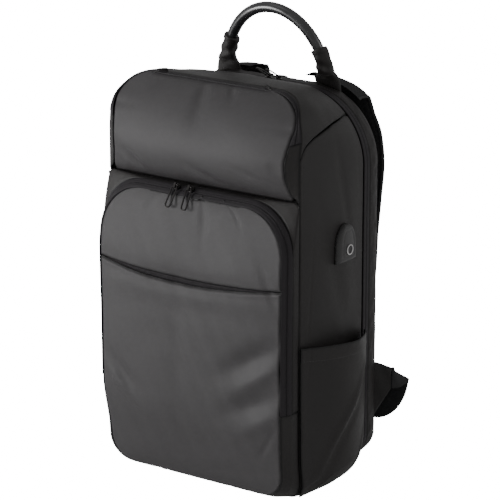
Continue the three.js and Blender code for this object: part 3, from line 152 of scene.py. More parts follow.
# Folds: middle across and up, reach along and over, turn in degrees, depth in millimetres
POCKET_FOLDS = [
    (0.72, 0.495, 0.3, 0.042, 11, 5.5), (0.8, 0.435, 0.24, 0.028, 13, -2.2),
    (0.72, 0.335, 0.3, 0.042, 9, 5.5), (0.82, 0.275, 0.24, 0.028, 12, -2.0),
    (-0.79, 0.31, 0.17, 0.022, -19, -2.6), (-0.74, 0.35, 0.17, 0.03, -19, 2.2),
    (0.0, 0.72, 1.1, 0.03, 0, 2.4), (-0.52, 0.985, 0.05, 0.05, 0, 2.0),
    (0.16, 0.955, 0.05, 0.07, -8, 2.6), (0.58, 0.98, 0.035, 0.045, 0, 2.0),
    (0.88, 0.74, 0.12, 0.03, -35, 1.8), (0.86, 0.2, 0.1, 0.02, 30, 1.6),
    (-0.1, 0.5, 0.1, 0.3, 0, 0.8), (0.3, 0.06, 0.5, 0.02, 3, 0.9),
]
UPPER_FOLDS = [
    (-0.74, 0.24, 0.2, 0.055, -42, 4.6), (-0.9, 0.3, 0.1, 0.04, -42, 2.0),
    (-0.05, 0.86, 0.07, 0.17, 0, 3.2), (0.31, 0.93, 0.05, 0.1, 0, 2.4),
    (0.12, 0.2, 0.25, 0.05, -25, 1.8), (0.9, 0.4, 0.08, 0.05, -50, 2.0),
    (-0.62, 0.9, 0.1, 0.1, 20, 1.6), (0.62, 0.3, 0.2, 0.04, -20, 1.2),
]
SIDE_FOLDS = [
    (0.1, 0.93, 0.5, 0.05, -28, 2.0), (0.5, 0.5, 0.7, 0.08, 12, 1.5),
    (-0.2, 0.72, 0.6, 0.06, -18, 1.5), (0.8, 0.85, 0.12, 0.03, -30, 1.1),
    (-0.75, 0.6, 0.2, 0.02, 60, 0.8),
]
TOP_FOLDS = [
    (-0.6, 0.4, 0.3, 0.5, 0, 4.5), (-0.2, 0.12, 0.1, 0.35, 0, 1.6), (0.25, 0.15, 0.12, 0.3, 0, 1.2),
]
POUCH_FOLDS = [
    (0.05, 0.66, 0.9, 0.03, 20, -2.4), (0.05, 0.58, 0.9, 0.04, 20, 1.6),
    (0.55, 0.35, 0.45, 0.03, 35, -2.2), (0.6, 0.26, 0.45, 0.04, 35, 1.8),
    (-0.6, 0.2, 0.3, 0.03, 28, -1.4),
]


def smooth(x, low=0.0, high=1.0):
    """A cubic step: 3t squared minus 2t cubed, from 0 at low to 1 at high."""
    t = np.clip((x - low) / (high - low), 0, 1)
    return t * t * (3 - 2 * t)


def bump(t):
    """Half a sine wave over 0 to 1."""
    return np.sin(np.pi * np.clip(t, 0, 1))


def column(table, key, name, at):
    """A table's column at a place: a cubic through the rows whose slope is the harmonic mean of the
    chords beside each row, or level where they change sign."""
    x, y = table[key], table[name]
    chord = np.diff(y) / np.diff(x)
    a, b = chord[:-1], chord[1:]
    both = a * b > 0
    mean = np.where(both, 2 * a * b / np.where(both, a + b, 1), 0)
    slope = np.concatenate([chord[:1], mean, chord[-1:]])
    at = np.clip(at, x[0], x[-1])
    i = np.clip(np.searchsorted(x, at, side="right") - 1, 0, len(x) - 2)
    h = x[i + 1] - x[i]
    t = (at - x[i]) / h
    s = t * t * (3 - 2 * t)
    turn = h * t * (1 - t)
    return y[i] * (1 - s) + y[i + 1] * s + turn * ((1 - t) * slope[i] - t * slope[i + 1])


def folds(table, across, up):
    """The sum of stretched bell curves: each falls off along and over its own turned axes."""
    total = np.zeros(np.broadcast(across, up).shape)
    for x, y, wide, tall, turn, deep in table:
        c, s = math.cos(math.radians(turn)), math.sin(math.radians(turn))
        a, b = across - x, up - y
        total += deep * np.exp(-(((a * c + b * s) / wide) ** 2) - ((b * c - a * s) / tall) ** 2)
    return total


def ripple(points, size, seed, waves=9):
    """Slow unevenness of cloth: the mean of sine waves of about one size in seeded directions."""
    rng = np.random.default_rng(seed)
    ways = rng.normal(size=(waves, 3))
    ways *= (rng.uniform(0.6, 1.6, waves) / np.linalg.norm(ways, axis=1))[:, None]
    phase = rng.uniform(0, 2 * np.pi, waves)
    wave = np.sin(points @ ways.T * (2 * np.pi / size) + phase)
    return wave.sum(-1) / math.sqrt(waves)


def edged(count, pull=0.75):
    """Shares from 0 to 1, closer together towards both ends."""
    t = np.linspace(0, 1, count)
    return (1 - pull) * t + pull * (0.5 - 0.5 * np.cos(np.pi * t))


def normals(grid):
    """Unit normals of a grid of points, from the cross product of its central differences."""
    down = np.gradient(grid, axis=0)
    over = np.gradient(grid, axis=1)
    n = np.cross(down, over)
    return n / np.maximum(np.linalg.norm(n, axis=-1, keepdims=True), 1e-9)


CORE = np.array([0, BODY_DEPTH / 2, BODY_RIDGE / 2])


def outward(grid, core=CORE):
    """The grid's normals, all turned to the side that faces away from a middle point."""
    n = normals(grid)
    return n if ((grid - core) * n).sum() > 0 else -n


def edge_distance(grid):
    """Millimetres from each point to the nearest border, measured along the grid's lines."""
    def run(axis):
        step = np.linalg.norm(np.diff(grid, axis=axis), axis=-1)
        way = np.cumsum(step, axis=axis)
        zero = np.zeros_like(np.take(way, [0], axis))
        way = np.concatenate([zero, way], axis)
        return np.minimum(way, np.take(way, [-1], axis) - way)
    return run(0), run(1)


def sewn(grid, core=CORE, depth=1.4, reach=2.2, rim=(True, True)):
    """Rolls a panel's borders in: it sinks by a bell curve of the distance to each border."""
    down, over = edge_distance(grid)
    near = np.minimum(down if rim[0] else 1e3, over if rim[1] else 1e3)
    return grid - outward(grid, core) * (depth * np.exp(-((near / reach) ** 2)))[..., None]


def outline(y):
    """Half width, low, high and corner radii of the body at a depth."""
    at = y / BODY_DEPTH
    return {
        "half": column(BODY, "at", "wide", at) * BODY_WIDTH / 2,
        "low": column(BODY, "at", "rise", at) * REAR_RISE,
        "high": BODY_RIDGE - column(BODY, "at", "fall", at) * TOP_FALL,
        "foot": column(BODY, "at", "foot", at) * FOOT_RADIUS,
        "crown": column(BODY, "at", "crown", at) * CROWN_RADIUS,
    }


def lengths(o):
    """Arc lengths at the ends of the base, foot arc, side, crown arc and top of a right half."""
    base = o["half"] - o["foot"]
    arc = base + o["foot"] * np.pi / 2
    side = arc + o["high"] - o["crown"] - o["low"] - o["foot"]
    crown = side + o["crown"] * np.pi / 2
    return base, arc, side, crown, crown + o["half"] - o["crown"]


def outline_at(o, s):
    """The point of a rounded outline at an arc length: flat base, quarter circle, straight side,
    quarter circle, flat top."""
    base, arc, side, crown, _ = lengths(o)
    a = np.clip((s - base) / o["foot"], 0, np.pi / 2)
    b = np.clip((s - side) / o["crown"], 0, np.pi / 2)
    low = s <= arc
    x = np.where(low, np.minimum(s, base) + o["foot"] * np.sin(a),
                 o["half"] - o["crown"] * (1 - np.cos(b)) - np.maximum(s - crown, 0))
    z = np.where(low, o["low"] + o["foot"] * (1 - np.cos(a)),
                 o["low"] + o["foot"] + np.clip(s - arc, 0, side - arc) + o["crown"] * np.sin(b))
    return x, z


def length_at(o, z):
    """The arc length where the side or the crown arc of an outline reaches a height."""
    base, arc, side, _, _ = lengths(o)
    above = z - (o["high"] - o["crown"])
    return np.where(above <= 0, arc + z - o["low"] - o["foot"],
                    side + o["crown"] * np.arcsin(np.clip(above / o["crown"], 0, 1)))


def blended(marks, steps, c):
    """The arc length at a count of steps: a straight blend between the marks on both sides."""
    edges = np.concatenate([[0], np.cumsum(steps)])
    k = np.clip(np.searchsorted(edges, c, side="right") - 1, 0, len(steps) - 1)
    f = (c - edges[k]) / (edges[k + 1] - edges[k])
    stack = np.stack(np.broadcast_arrays(*marks, f)[:-1])
    k = np.broadcast_to(k, stack.shape[1:])[None]
    low = np.take_along_axis(stack, k, 0)[0]
    return low + (np.take_along_axis(stack, k + 1, 0)[0] - low) * f


def front_depth(z):
    """How far back the front seam lies at a height."""
    return FRONT_LEAN * column(FRONT_SEAM, "up", "back", z / BODY_RIDGE)


# Stretches of the body's right half: which marks bound them, and the steps between the marks
STRETCHES = {
    "base": (("middle", "base", "foot_seam"), (5, 2)),
    "side": (("foot_seam", "arc", "yoke"), (2, 8)),
    "top": (("yoke", "crown", "top"), (5, 5)),
    "arch": (("foot_seam", "arc", "yoke", "crown", "top"), (2, 8, 5, 5)),
    "whole": (("middle", "base", "foot_seam", "arc", "yoke", "crown", "top"), (5, 2, 2, 8, 5, 5)),
}


def steps_of(stretch):
    return sum(STRETCHES[stretch][1])


def body_place(stretch, c, y):
    """x and z of the body at a count of steps along a stretch and at a depth."""
    names, steps = STRETCHES[stretch]
    o = outline(y)
    base, arc, _, crown, top = lengths(o)
    up = column(YOKE, "at", "up", y / ZIP_DEPTH)
    marks = {
        "middle": base * 0, "base": base, "foot_seam": (base + arc) / 2, "arc": arc,
        "yoke": length_at(o, YOKE_HEIGHT + up * (BODY_RIDGE - YOKE_HEIGHT)), "crown": crown, "top": top,
    }
    return outline_at(o, blended([marks[name] for name in names], steps, c))


def body_surface(stretch, c, depth, share):
    """The body between its front seam and a depth: every line of steps runs straight back from the
    leaning front seam, and its outline is the body's at each depth."""
    c, share = np.broadcast_arrays(c, share)
    _, front_z = body_place(stretch, c, np.zeros(c.shape))
    y = front_depth(front_z) * (1 - share) + depth * share
    x, z = body_place(stretch, c, y)
    return np.stack([x, y, z], -1)


def both_halves(surface, w):
    """A surface over both halves: w runs from -1 at the left foot to 1 at the right foot, and steps
    are counted up from each foot to the middle."""
    grid = surface(1 - np.abs(w))
    grid[..., 0] *= np.where(w < 0, -1, 1)
    return grid


# Body panels
def side_panel(v, u):
    """The right side panel: the body between foot seam and yoke, puffed by sine humps, with folds."""
    grid = body_surface("side", u * steps_of("side"), ZIP_DEPTH, v)
    push = SIDE_PUFF * bump(v) * bump(u) ** 0.6 - folds(SIDE_FOLDS, v * 2 - 1, u) * bump(v) * bump(u)
    push += 0.5 * ripple(grid, 70, 3) * (bump(v) * bump(u)) ** 0.5
    return grid + outward(grid) * push[..., None]


def top_panel(v, u):
    """The panel from the upper pocket's zipper back to the main zipper, gathered at its front."""
    w = u * 2 - 1
    grid = both_halves(lambda c: body_surface("top", c * steps_of("top"), ZIP_DEPTH, v), w)
    push = (TOP_PUFF - folds(TOP_FOLDS, w, v)) * bump(v) * np.sqrt(bump(u))
    push += 0.35 * ripple(grid, 45, 5) * (bump(v) * bump(u)) ** 0.4
    return grid + outward(grid) * push[..., None]


def band(near, far, rise):
    """A ruled band between two lines, raised by a profile of its share across."""
    def surface(v, u):
        a, b = near(u), far(u)
        grid = a * (1 - v[..., None]) + b * v[..., None]
        return grid + outward(grid) * rise(v)[..., None]
    return surface


def arch_at(depth):
    """The main zipper's line over both sides and the top at a depth."""
    return lambda u: both_halves(
        lambda c: body_surface("arch", c * steps_of("arch"), depth, np.ones_like(c)), u * 2 - 1)


def tape_rise(v):
    """Two woven tapes that meet in a narrow groove, each a little rounded."""
    t = np.abs(v - 0.5) * 2
    coil = 0.35 * np.exp(-(((t - 0.12) / 0.08) ** 2))
    return 0.55 * bump((t - 0.06) / 0.94) ** 0.6 + coil - 0.5 * np.exp(-((t / 0.05) ** 2))


def strip(v, u):
    """The strip behind the main zipper, lightly puffed."""
    near, far = arch_at(ZIP_BACK)(u), arch_at(BODY_DEPTH)(u)
    grid = near * (1 - v[..., None]) + far * v[..., None]
    puckers = 0.3 * ripple(grid, 30, 8) + 0.4 * ripple(grid, 11, 9)
    push = STRIP_PUFF * bump(v) * np.minimum(1, 6 * bump(u)) + puckers * bump(v)
    return grid + outward(grid) * push[..., None]


def base_surface(v, u):
    """The base from the front seam to the back seam, both halves."""
    w = u * 2 - 1
    grid = body_surface("base", np.abs(w) * steps_of("base"), BODY_DEPTH, v)
    grid[..., 0] *= np.where(w < 0, -1, 1)
    return grid


def face_over(half, rows_share, t):
    """A face whose rows run straight from the left seam to the right seam."""
    right = half(rows_share)
    left = right * np.array([-1, 1, 1])
    return left * (1 - t[..., None]) + right * t[..., None]


def back_surface(v, u):
    """The padded back: puffed towards its middle, with an air channel down the middle and sewn
    lines beside it."""
    def half(share):
        return body_surface("whole", 5 + share * 17, BODY_DEPTH, np.ones_like(share))
    grid = face_over(half, v, u)
    from_middle = np.abs(u * 2 - 1) * BODY_WIDTH / 2
    channel = BACK_CHANNEL * (1 - smooth(from_middle, *CHANNEL_EDGES)) * bump(v)
    sewn_line = 1.2 * np.exp(-(((from_middle - BACK_SEAM_AT) / 2.2) ** 2)) * smooth(bump(v), 0.05, 0.3)
    push = BACK_PUFF * np.sqrt(bump(v) * bump(u)) - channel - sewn_line
    return grid + outward(grid) * push[..., None]


# Front pocket
FACE_HIGH = CREASE_HEIGHT - POCKET_TOP_DROP
ZIP_OUT = math.cos(POCKET_ZIP_LEAN) * POCKET_ZIP_WIDTH
ZIP_IN = math.sin(POCKET_ZIP_LEAN) * POCKET_ZIP_WIDTH
FRONT = {key: float(value) for key, value in outline(np.array(0.0)).items()}
POCKET_FACE = {"half": POCKET_WIDTH / 2, "low": POCKET_FOOT, "high": FACE_HIGH,
               "foot": POCKET_FOOT_RADIUS, "crown": POCKET_CROWN_RADIUS}
POCKET_MIDDLE = {"half": POCKET_WIDTH / 2 + ZIP_OUT, "low": POCKET_FOOT - 2,
                 "high": CREASE_HEIGHT - 1, "foot": POCKET_FOOT_RADIUS,
                 "crown": POCKET_CROWN_RADIUS + ZIP_OUT}
POCKET_BASE = dict(FRONT, high=CREASE_HEIGHT, crown=4)
POCKET_STEPS = (5, 4, 2, 4, 1, 5, 5)
ZIP_START, SLIT_STEP, POCKET_END = 11, 15, 21
POCKET_TOP = 26


def pocket_place(o, c):
    """x and z of one of the front pocket's outlines at a count of steps."""
    base, arc, side, crown, top = lengths(o)
    marks = (0, base, arc, length_at(o, POCKET_ZIP_END), length_at(o, SLIT_HEIGHT), side, crown, top)
    return outline_at(o, blended([np.asarray(m, float) for m in marks], POCKET_STEPS, c))


def face_seam(c):
    """The edge of the pocket's face: it stands out by the table's share of the pocket's reach."""
    x, z = pocket_place(POCKET_FACE, c)
    out = column(POCKET_EDGE, "up", "out", z / FACE_HIGH)
    wide = column(POCKET_EDGE, "up", "wide", z / FACE_HIGH)
    return np.stack([x * wide, -POCKET_OUT * out, z], -1)


def middle_seam(c):
    """The far edge of the pocket's zipper."""
    x, z = pocket_place(POCKET_MIDDLE, c)
    out = column(POCKET_EDGE, "up", "out", z / FACE_HIGH)
    wide = column(POCKET_EDGE, "up", "wide", z / FACE_HIGH)
    return np.stack([x * (1 + wide) / 2, (ZIP_IN - POCKET_OUT) * out, z], -1)


def base_seam(c):
    """The pocket's line on the body's front seam."""
    x, z = pocket_place(POCKET_BASE, c)
    return np.stack([x, front_depth(z), z], -1)


def pocket_arch(seam):
    """A pocket seam above the zipper's ends, from the left end over the top to the right end."""
    return lambda u: both_halves(lambda c: seam(ZIP_START + c * (POCKET_TOP - ZIP_START)), u * 2 - 1)


def pocket_foot_line(seam):
    """A pocket seam below the zipper's ends, from left to right under the base."""
    def line(u):
        w = u * 2 - 1
        grid = seam(np.abs(w) * ZIP_START)
        grid[..., 0] *= np.where(w < 0, -1, 1)
        return grid
    return line


def pocket_face(v, u, low, high):
    """The pocket's face between two counts of steps: sagging towards the slit, puffed by a quartic
    across and a sine hump up, with folds and slow unevenness."""
    c = low + v * (high - low)
    grid = face_over(face_seam, c, u)
    across = u * 2 - 1
    near = 1 - smooth(np.abs(grid[..., 2] - SLIT_HEIGHT), 0, SLIT_REACH)
    grid[..., 2] -= SLIT_SAG * (1 - across**2) * near
    up = (grid[..., 2] - POCKET_FOOT) / (FACE_HIGH - POCKET_FOOT)
    free = np.sqrt(np.clip(bump(up) * (1 - across**6), 0, 1))
    push = FACE_PUFF * (1 - across**4) * bump(up) ** 0.7 - folds(POCKET_FOLDS, across, up) * free
    push += (0.5 * ripple(grid, 85, 11) + 0.22 * ripple(grid, 32, 12)) * free
    return grid + outward(grid) * push[..., None]


def lower_face(v, u):
    """The face below the slit. Its top edge hangs open, most of all left of the middle."""
    grid = pocket_face(v, u, 5, SLIT_STEP)
    across = u * 2 - 1
    lip = smooth(v, 0.86, 1)
    grid[..., 2] -= SLIT_MOUTH * (1 - across**2) * (1 - 0.35 * across) * lip
    grid[..., 1] -= SLIT_LIP * (1 - across**2) * lip
    return grid


def upper_face(v, u):
    """The face above the slit."""
    return pocket_face(v, u, SLIT_STEP, POCKET_END)


def slit_line(u):
    """The upper lip's edge on the face."""
    share = np.linspace(0, 1, 12)[:, None] * np.ones_like(u[:1])
    grid = pocket_face(share, np.broadcast_to(u[:1], share.shape), SLIT_STEP, POCKET_END)
    return np.broadcast_to(grid[:1], (*u.shape, 3)).copy()


def slit_tape(v, u):
    """The hidden zipper's tape behind both lips of the slit."""
    line = slit_line((1 - SLIT_ALONG) / 2 + u * SLIT_ALONG)
    line[..., 2] += (v - 0.5) * SLIT_TAPE - SLIT_MOUTH / 2
    line[..., 1] += FRONT_WALL + 2 * GAP
    return line


# Upper pocket
UPPER = {"half": UPPER_WIDTH / 2, "low": CREASE_HEIGHT, "high": BODY_RIDGE, "foot": UPPER_FOOT_RADIUS,
         "crown": UPPER_CROWN_RADIUS}
UPPER_STEPS = (5, 1, 4, 5, 5)


def upper_seam(c):
    """The edge of the upper pocket's face."""
    base, arc, side, crown, top = lengths(UPPER)
    marks = (0, base, arc, length_at(UPPER, YOKE_HEIGHT), crown, top)
    x, z = outline_at(UPPER, blended([np.asarray(m, float) for m in marks], UPPER_STEPS, c))
    up = (z - CREASE_HEIGHT) / (BODY_RIDGE - CREASE_HEIGHT)
    y = UPPER_BACK * column(UPPER_EDGE, "up", "back", up) - UPPER_OUT * column(UPPER_EDGE, "up", "out", up)
    return np.stack([x * column(UPPER_EDGE, "up", "wide", up), y, z], -1)


def upper_rear(c):
    """The line on the body behind the upper pocket's edge: up the front seam to the yoke in four
    steps, then along the top panel's front edge."""
    z = CREASE_HEIGHT + np.clip(c / 4, 0, 1) * (YOKE_HEIGHT - CREASE_HEIGHT)
    x, z = outline_at(FRONT, length_at(FRONT, z))
    rise = np.stack([x, front_depth(z), z], -1)
    over = body_surface("top", np.clip(c - 4, 0, 10), 0, np.zeros_like(c))
    return np.where((c < 4)[..., None], rise, over)


def upper_face_surface(v, u):
    """The upper pocket's face: its seam's profile, averaged up the middle, bulging over the crease
    with folds, and its top lapping over the zipper."""
    grid = face_over(upper_seam, 5 + v * 10, u)
    across = u * 2 - 1
    push = UPPER_PUFF * bump(v) ** 0.7 * (1 - across**4)
    push -= folds(UPPER_FOLDS, across, v) * np.sqrt(bump(v) * bump(u))
    push += 0.3 * ripple(grid, 70, 21) * np.sqrt(bump(v) * bump(u))
    soft = grid.copy()
    for _ in range(SMOOTHING):
        soft[1:-1] = (soft[:-2] + 2 * soft[1:-1] + soft[2:]) / 4
    middle = (1 - across**6)[..., None]
    grid = grid * (1 - middle) + soft * middle
    grid = grid + outward(grid) * push[..., None]
    reach = upper_rear(np.array([14.0]))[0] - upper_seam(np.array([20.0]))[0]
    lap = smooth(v, 0.93, 1) * (1 - smooth(np.abs(across), 0.72, 0.95))
    return grid + lap[..., None] * (FLAP * reach + (0, 0, 1.2))


def upper_arch(seam, first):
    """One of the upper pocket's lines over the top, from a step above the yoke."""
    return lambda u: both_halves(lambda c: seam(first + c * 9), u * 2 - 1)


# Side pockets and the port cover
def side_share(v, z):
    """The share up the side panel at which it reaches a height, for each share of the depth: read
    off a table of heights, straight between its rows."""
    u = np.linspace(0, 1, 240)
    dense = np.linspace(0, 1, 61)
    heights = side_panel(*np.meshgrid(dense, u, indexing="ij"))[..., 2]
    v, z = np.atleast_1d(v), np.broadcast_to(z, np.atleast_1d(v).shape)
    i = np.clip((v * 60).astype(int), 0, 59)
    f = (v * 60 - i)[:, None]
    lines = heights[i] * (1 - f) + heights[i + 1] * f
    return np.array([np.interp(target, line, u) for target, line in zip(z, lines)])


def side_pocket(v, u):
    """A slack pouch over the side panel: it stands off along the panel's normal, most behind its
    middle and at its mouth, with long diagonal folds."""
    mouth = side_share(v[:, 0], SIDE_POCKET_FRONT - SIDE_POCKET_DROP * v[:, 0])[:, None]
    panel = side_panel(v, mouth * u)
    gape = SIDE_POCKET_GAPE * bump(v**1.35) * smooth(u, -0.1, 1) ** 0.8
    hem = POCKET_HEM * smooth(u, 0.93, 0.95)
    fold = folds(POUCH_FOLDS, v * 2 - 1, u) * (bump(v) * bump(u * 0.9)) ** 0.5
    lift = POCKET_STAND + gape + hem - fold + 0.4 * ripple(panel, 50, 31) * bump(v)
    return panel + outward(panel) * lift[..., None]


def port_surface(t, u):
    """The charging port's cover: a cap with quarter-round edges that is straight below and round at
    its top, laid on the side panel along x."""
    bow = np.clip((t - PORT_STRAIGHT) / (1 - PORT_STRAIGHT), 0, 1)
    reach = PORT_WIDTH / 2 * np.sqrt(1 - PORT_ROUND * bow**2)
    across = u * 2 - 1
    v = (PORT_DEPTH + across * reach) / ZIP_DEPTH
    z = PORT_FOOT + t * PORT_HEIGHT
    middle = np.array([PORT_DEPTH / ZIP_DEPTH])
    low, high = side_share(middle, PORT_FOOT)[0], side_share(middle, PORT_FOOT + PORT_HEIGHT)[0]
    grid = side_panel(v, low + t * (high - low))
    grid[..., 2] = z
    edge = np.minimum(np.minimum((1 - np.abs(across)) * reach, z.max() - z), z - z.min())
    lift = (PORT_OUT - GAP) * np.sqrt(1 - (1 - np.clip(edge / PORT_EDGE, 0, 1)) ** 2)
    lift -= 0.5 * np.exp(-(((edge - 7) / 0.8) ** 2))
    grid[..., 0] += GAP + lift
    return grid


# Handle
HANDLE_FOOT = BODY_RIDGE - TOP_FALL
SLEEVE_ANGLE = math.asin(SLEEVE_REACH / HANDLE_REACH)
SLEEVE_SEAM = 13  # the row of a sleeve that carries its stitches


def handle_point(angle):
    """A half ellipse over the top that leans forward."""
    return np.stack([HANDLE_SPAN / 2 * np.cos(angle), HANDLE_BACK - HANDLE_LEAN * np.sin(angle),
                     HANDLE_FOOT + HANDLE_REACH * np.sin(angle)], -1)


def carried(path, first, second, count):
    """An ellipse carried along a path: first and second are its half axes as vectors."""
    turn = np.linspace(0, 2 * np.pi, count, endpoint=False)
    return (path[:, None] + first[:, None] * np.cos(turn)[None, :, None]
            + second[:, None] * np.sin(turn)[None, :, None])


def grip_surface():
    """The handle's tube: a circle carried round the half ellipse between the sleeves."""
    angle = np.linspace(SLEEVE_ANGLE * 0.66, np.pi - SLEEVE_ANGLE * 0.66, 90)
    path = handle_point(angle)
    run = np.gradient(path, axis=0)
    run /= np.linalg.norm(run, axis=1, keepdims=True)
    back = np.array([0, 1.0, 0]) - run[:, 1:2] * run
    back /= np.linalg.norm(back, axis=1, keepdims=True)
    out = np.cross(back, run)
    return carried(path, out * HANDLE_GRIP / 2, back * HANDLE_GRIP / 2, 28)


def sleeve_surface(side):
    """A sleeve: round at its mouth, pressed flat and spread at its foot, which follows the top."""
    t = np.linspace(0, 1, 44)
    angle = SLEEVE_ANGLE * t
    path = handle_point(angle)
    run = handle_point(angle + 0.01) - handle_point(angle - 0.01)
    run /= np.linalg.norm(run, axis=1, keepdims=True)
    back = np.tile([0.0, 1.0, 0.0], (len(t), 1))
    out = -np.cross(back, run)
    out /= np.linalg.norm(out, axis=1, keepdims=True)
    flat = 1 - smooth(t, 0, 0.55)
    wide = SLEEVE_TOP + (SLEEVE_FOOT - SLEEVE_TOP) * flat
    deep = SLEEVE_TOP + (SLEEVE_DEPTH - SLEEVE_TOP) * flat
    hem = 0.5 * smooth(t, 0.86, 0.88) * (1 - smooth(t, 0.985, 1.0))
    grid = carried(path, out * (wide / 2 + hem)[:, None], back * (deep / 2 + hem)[:, None], 56)
    turn = np.linspace(0, 2 * np.pi, 56, endpoint=False)
    share = t[:, None]
    crease = np.sin(3 * turn[None] + 7 * share) + 0.8 * np.sin(2 * turn[None] - 19 * share)
    crease *= (0.4 + 0.6 * bump(share)) * bump(0.15 + 0.85 * share)
    middle = path[:, None]
    away = (grid - middle) / np.linalg.norm(grid - middle, axis=-1, keepdims=True)
    grid = grid + away * crease[..., None]
    o = outline(grid[..., 1])
    over = np.clip(np.abs(grid[..., 0]) - (o["half"] - o["crown"]), 0, None)
    top = o["high"] - o["crown"] + np.sqrt(o["crown"] ** 2 - over**2) + 1.4
    near = (1 - smooth(t, 0, 0.14))[:, None]
    grid[..., 2] = grid[..., 2] * (1 - near) + top * near
    grid[..., 0] *= side
    return grid


# Straps
def strap_row(v):
    """Middle, half width and thickness of a shoulder strap at a share of its rows."""
    k = v * (len(STRAP["at"]) - 1)
    index = {"i": np.arange(len(STRAP["at"]), dtype=float), **STRAP}
    get = {name: column(index, "i", name, k) for name in ("at", "spread", "stand", "wide", "lean")}
    middle = np.stack([get["spread"] * STRAP_SPREAD, BODY_DEPTH + get["stand"] * STRAP_STAND,
                       STRAP_TOP + get["at"] * (STRAP_FOOT - STRAP_TOP)], -1)
    return middle, get["wide"] * STRAP_WIDTH / 2, get["lean"], get["stand"]


def strap_frame(v):
    """The strap's middle line with its run, its way across and its way out."""
    middle, half, lean, stand = strap_row(v)
    run = np.gradient(middle, axis=0)
    run[:, 0] *= 0.2
    run /= np.linalg.norm(run, axis=1, keepdims=True)
    across = np.stack([np.ones_like(lean), np.zeros_like(lean), -lean], -1)
    across -= (across * run).sum(1, keepdims=True) * run
    across /= np.linalg.norm(across, axis=1, keepdims=True)
    out = np.cross(across, run)
    out *= np.sign(out[:, 1:2] + 1e-6 + (out[:, 2:3] > 0) * 2)
    return middle, half, across, out


def strap_thickness(v):
    return STRAP_EDGE + (STRAP_PAD - STRAP_EDGE) * np.sqrt(bump(0.06 + v * 0.9))


def under_crown(grid):
    """Lowers what stands higher than a little above the body's rounded rear top corner."""
    over = np.clip(np.abs(grid[..., 0]) - (REAR["half"] - REAR["crown"]), 0, REAR["crown"])
    top = REAR["high"] - REAR["crown"] + np.sqrt(REAR["crown"] ** 2 - over**2)
    grid[..., 2] = np.minimum(grid[..., 2], top + CROWN_STAND)
    return grid


def strap_surface(side):
    """A padded strap: a flattened superellipse carried down the strap's line, thickest in the
    middle, with two sewn channels."""
    v = np.linspace(0, 1, 130)
    middle, half, across, out = strap_frame(v)
    thick = strap_thickness(v)
    middle = middle - out * (thick / 2)[:, None] + out * 0.8
    turn = np.linspace(0, 2 * np.pi, 72, endpoint=False)
    c, s = np.cos(turn), np.sin(turn)
    a = np.sign(c) * np.abs(c) ** 0.75
    b = np.sign(s) * np.abs(s) ** 0.8
    body = np.sqrt(np.clip(1 - np.abs(a) ** 5, 0, 1))
    depth = b[None] * (STRAP_RIM + (thick[:, None] / 2 - STRAP_RIM) * body[None])
    channel = 0.7 * np.exp(-(((np.abs(a) - STRAP_CHANNEL_AT) / 0.05) ** 2))
    depth -= np.sign(b)[None] * channel[None] * np.minimum(1, thick / 6)[:, None]
    grid = (middle[:, None] + across[:, None] * (half[:, None] * a[None])[..., None]
            + out[:, None] * depth[..., None])
    return under_crown(grid) * (side, 1, 1)


def strap_binding(side):
    """The tape sewn round a strap's edge: a small ellipse carried round its outline."""
    v = np.linspace(0, 1, 130)
    middle, half, across, out = strap_frame(v)
    middle = middle - out * (strap_thickness(v) / 2)[:, None] + out * 0.8
    left = middle - across * half[:, None]
    right = middle + across * half[:, None]
    t = np.linspace(0, 1, 16)[1:-1, None]
    path = np.concatenate([left, left[-1] * (1 - t) + right[-1] * t, right[::-1]])
    ways = np.concatenate([-across, np.tile(np.cross(out[-1], across[-1]), (14, 1)), across[::-1]])
    outs = np.concatenate([out, np.tile(out[-1], (14, 1)), out[::-1]])
    for _ in range(6):
        ways[1:-1] = (ways[:-2] + ways[1:-1] + ways[2:]) / 3
    ways /= np.linalg.norm(ways, axis=1, keepdims=True)
    return under_crown(carried(path, ways * BINDING_HALF[0], outs * BINDING_HALF[1], 12)) * (side, 1, 1)


def band_path(middles, ways, width, thick, columns=9):
    """A webbing: a flat superellipse of a given width and thickness carried along a line, with the
    ways across given at its points and squared to the line."""
    middles, ways = np.asarray(middles, float), np.asarray(ways, float)
    gaps = np.linalg.norm(np.diff(middles, axis=0), axis=1)
    length = np.concatenate([[0], np.cumsum(gaps)])
    fine = np.linspace(0, length[-1], int(length[-1] / 1.6) + 2)
    path = np.stack([hermite(length, middles[:, k], fine) for k in range(3)], -1)
    way = np.stack([np.interp(fine, length, ways[:, k]) for k in range(3)], -1)
    run = np.gradient(path, axis=0)
    run /= np.linalg.norm(run, axis=1, keepdims=True)
    way -= (way * run).sum(1, keepdims=True) * run
    way /= np.linalg.norm(way, axis=1, keepdims=True)
    out = np.cross(run, way)
    turn = np.linspace(0, 2 * np.pi, 2 * columns + 6, endpoint=False)
    a = np.sign(np.cos(turn)) * np.abs(np.cos(turn)) ** 0.5
    b = np.sign(np.sin(turn)) * np.abs(np.sin(turn)) ** 0.7
    grid = (path[:, None] + way[:, None] * (a * width / 2)[None, :, None]
            + out[:, None] * (b * thick / 2)[None, :, None])
    return grid, fine


def hermite(x, y, at):
    """A cubic through points whose slope at each is the mean of the chords beside it."""
    chord = np.diff(y) / np.diff(x)
    slope = np.concatenate([chord[:1], (chord[:-1] + chord[1:]) / 2, chord[-1:]])
    i = np.clip(np.searchsorted(x, at, side="right") - 1, 0, len(x) - 2)
    h = x[i + 1] - x[i]
    t = (at - x[i]) / h
    s = t * t * (3 - 2 * t)
    return y[i] * (1 - s) + y[i + 1] * s + h * t * (1 - t) * ((1 - t) * slope[i] - t * slope[i + 1])


# Wings, webbing and locks
REAR = {key: float(value) for key, value in outline(np.array(float(BODY_DEPTH))).items()}
WING_WAY = np.array([math.cos(WING_TURN), math.sin(WING_TURN), 0])


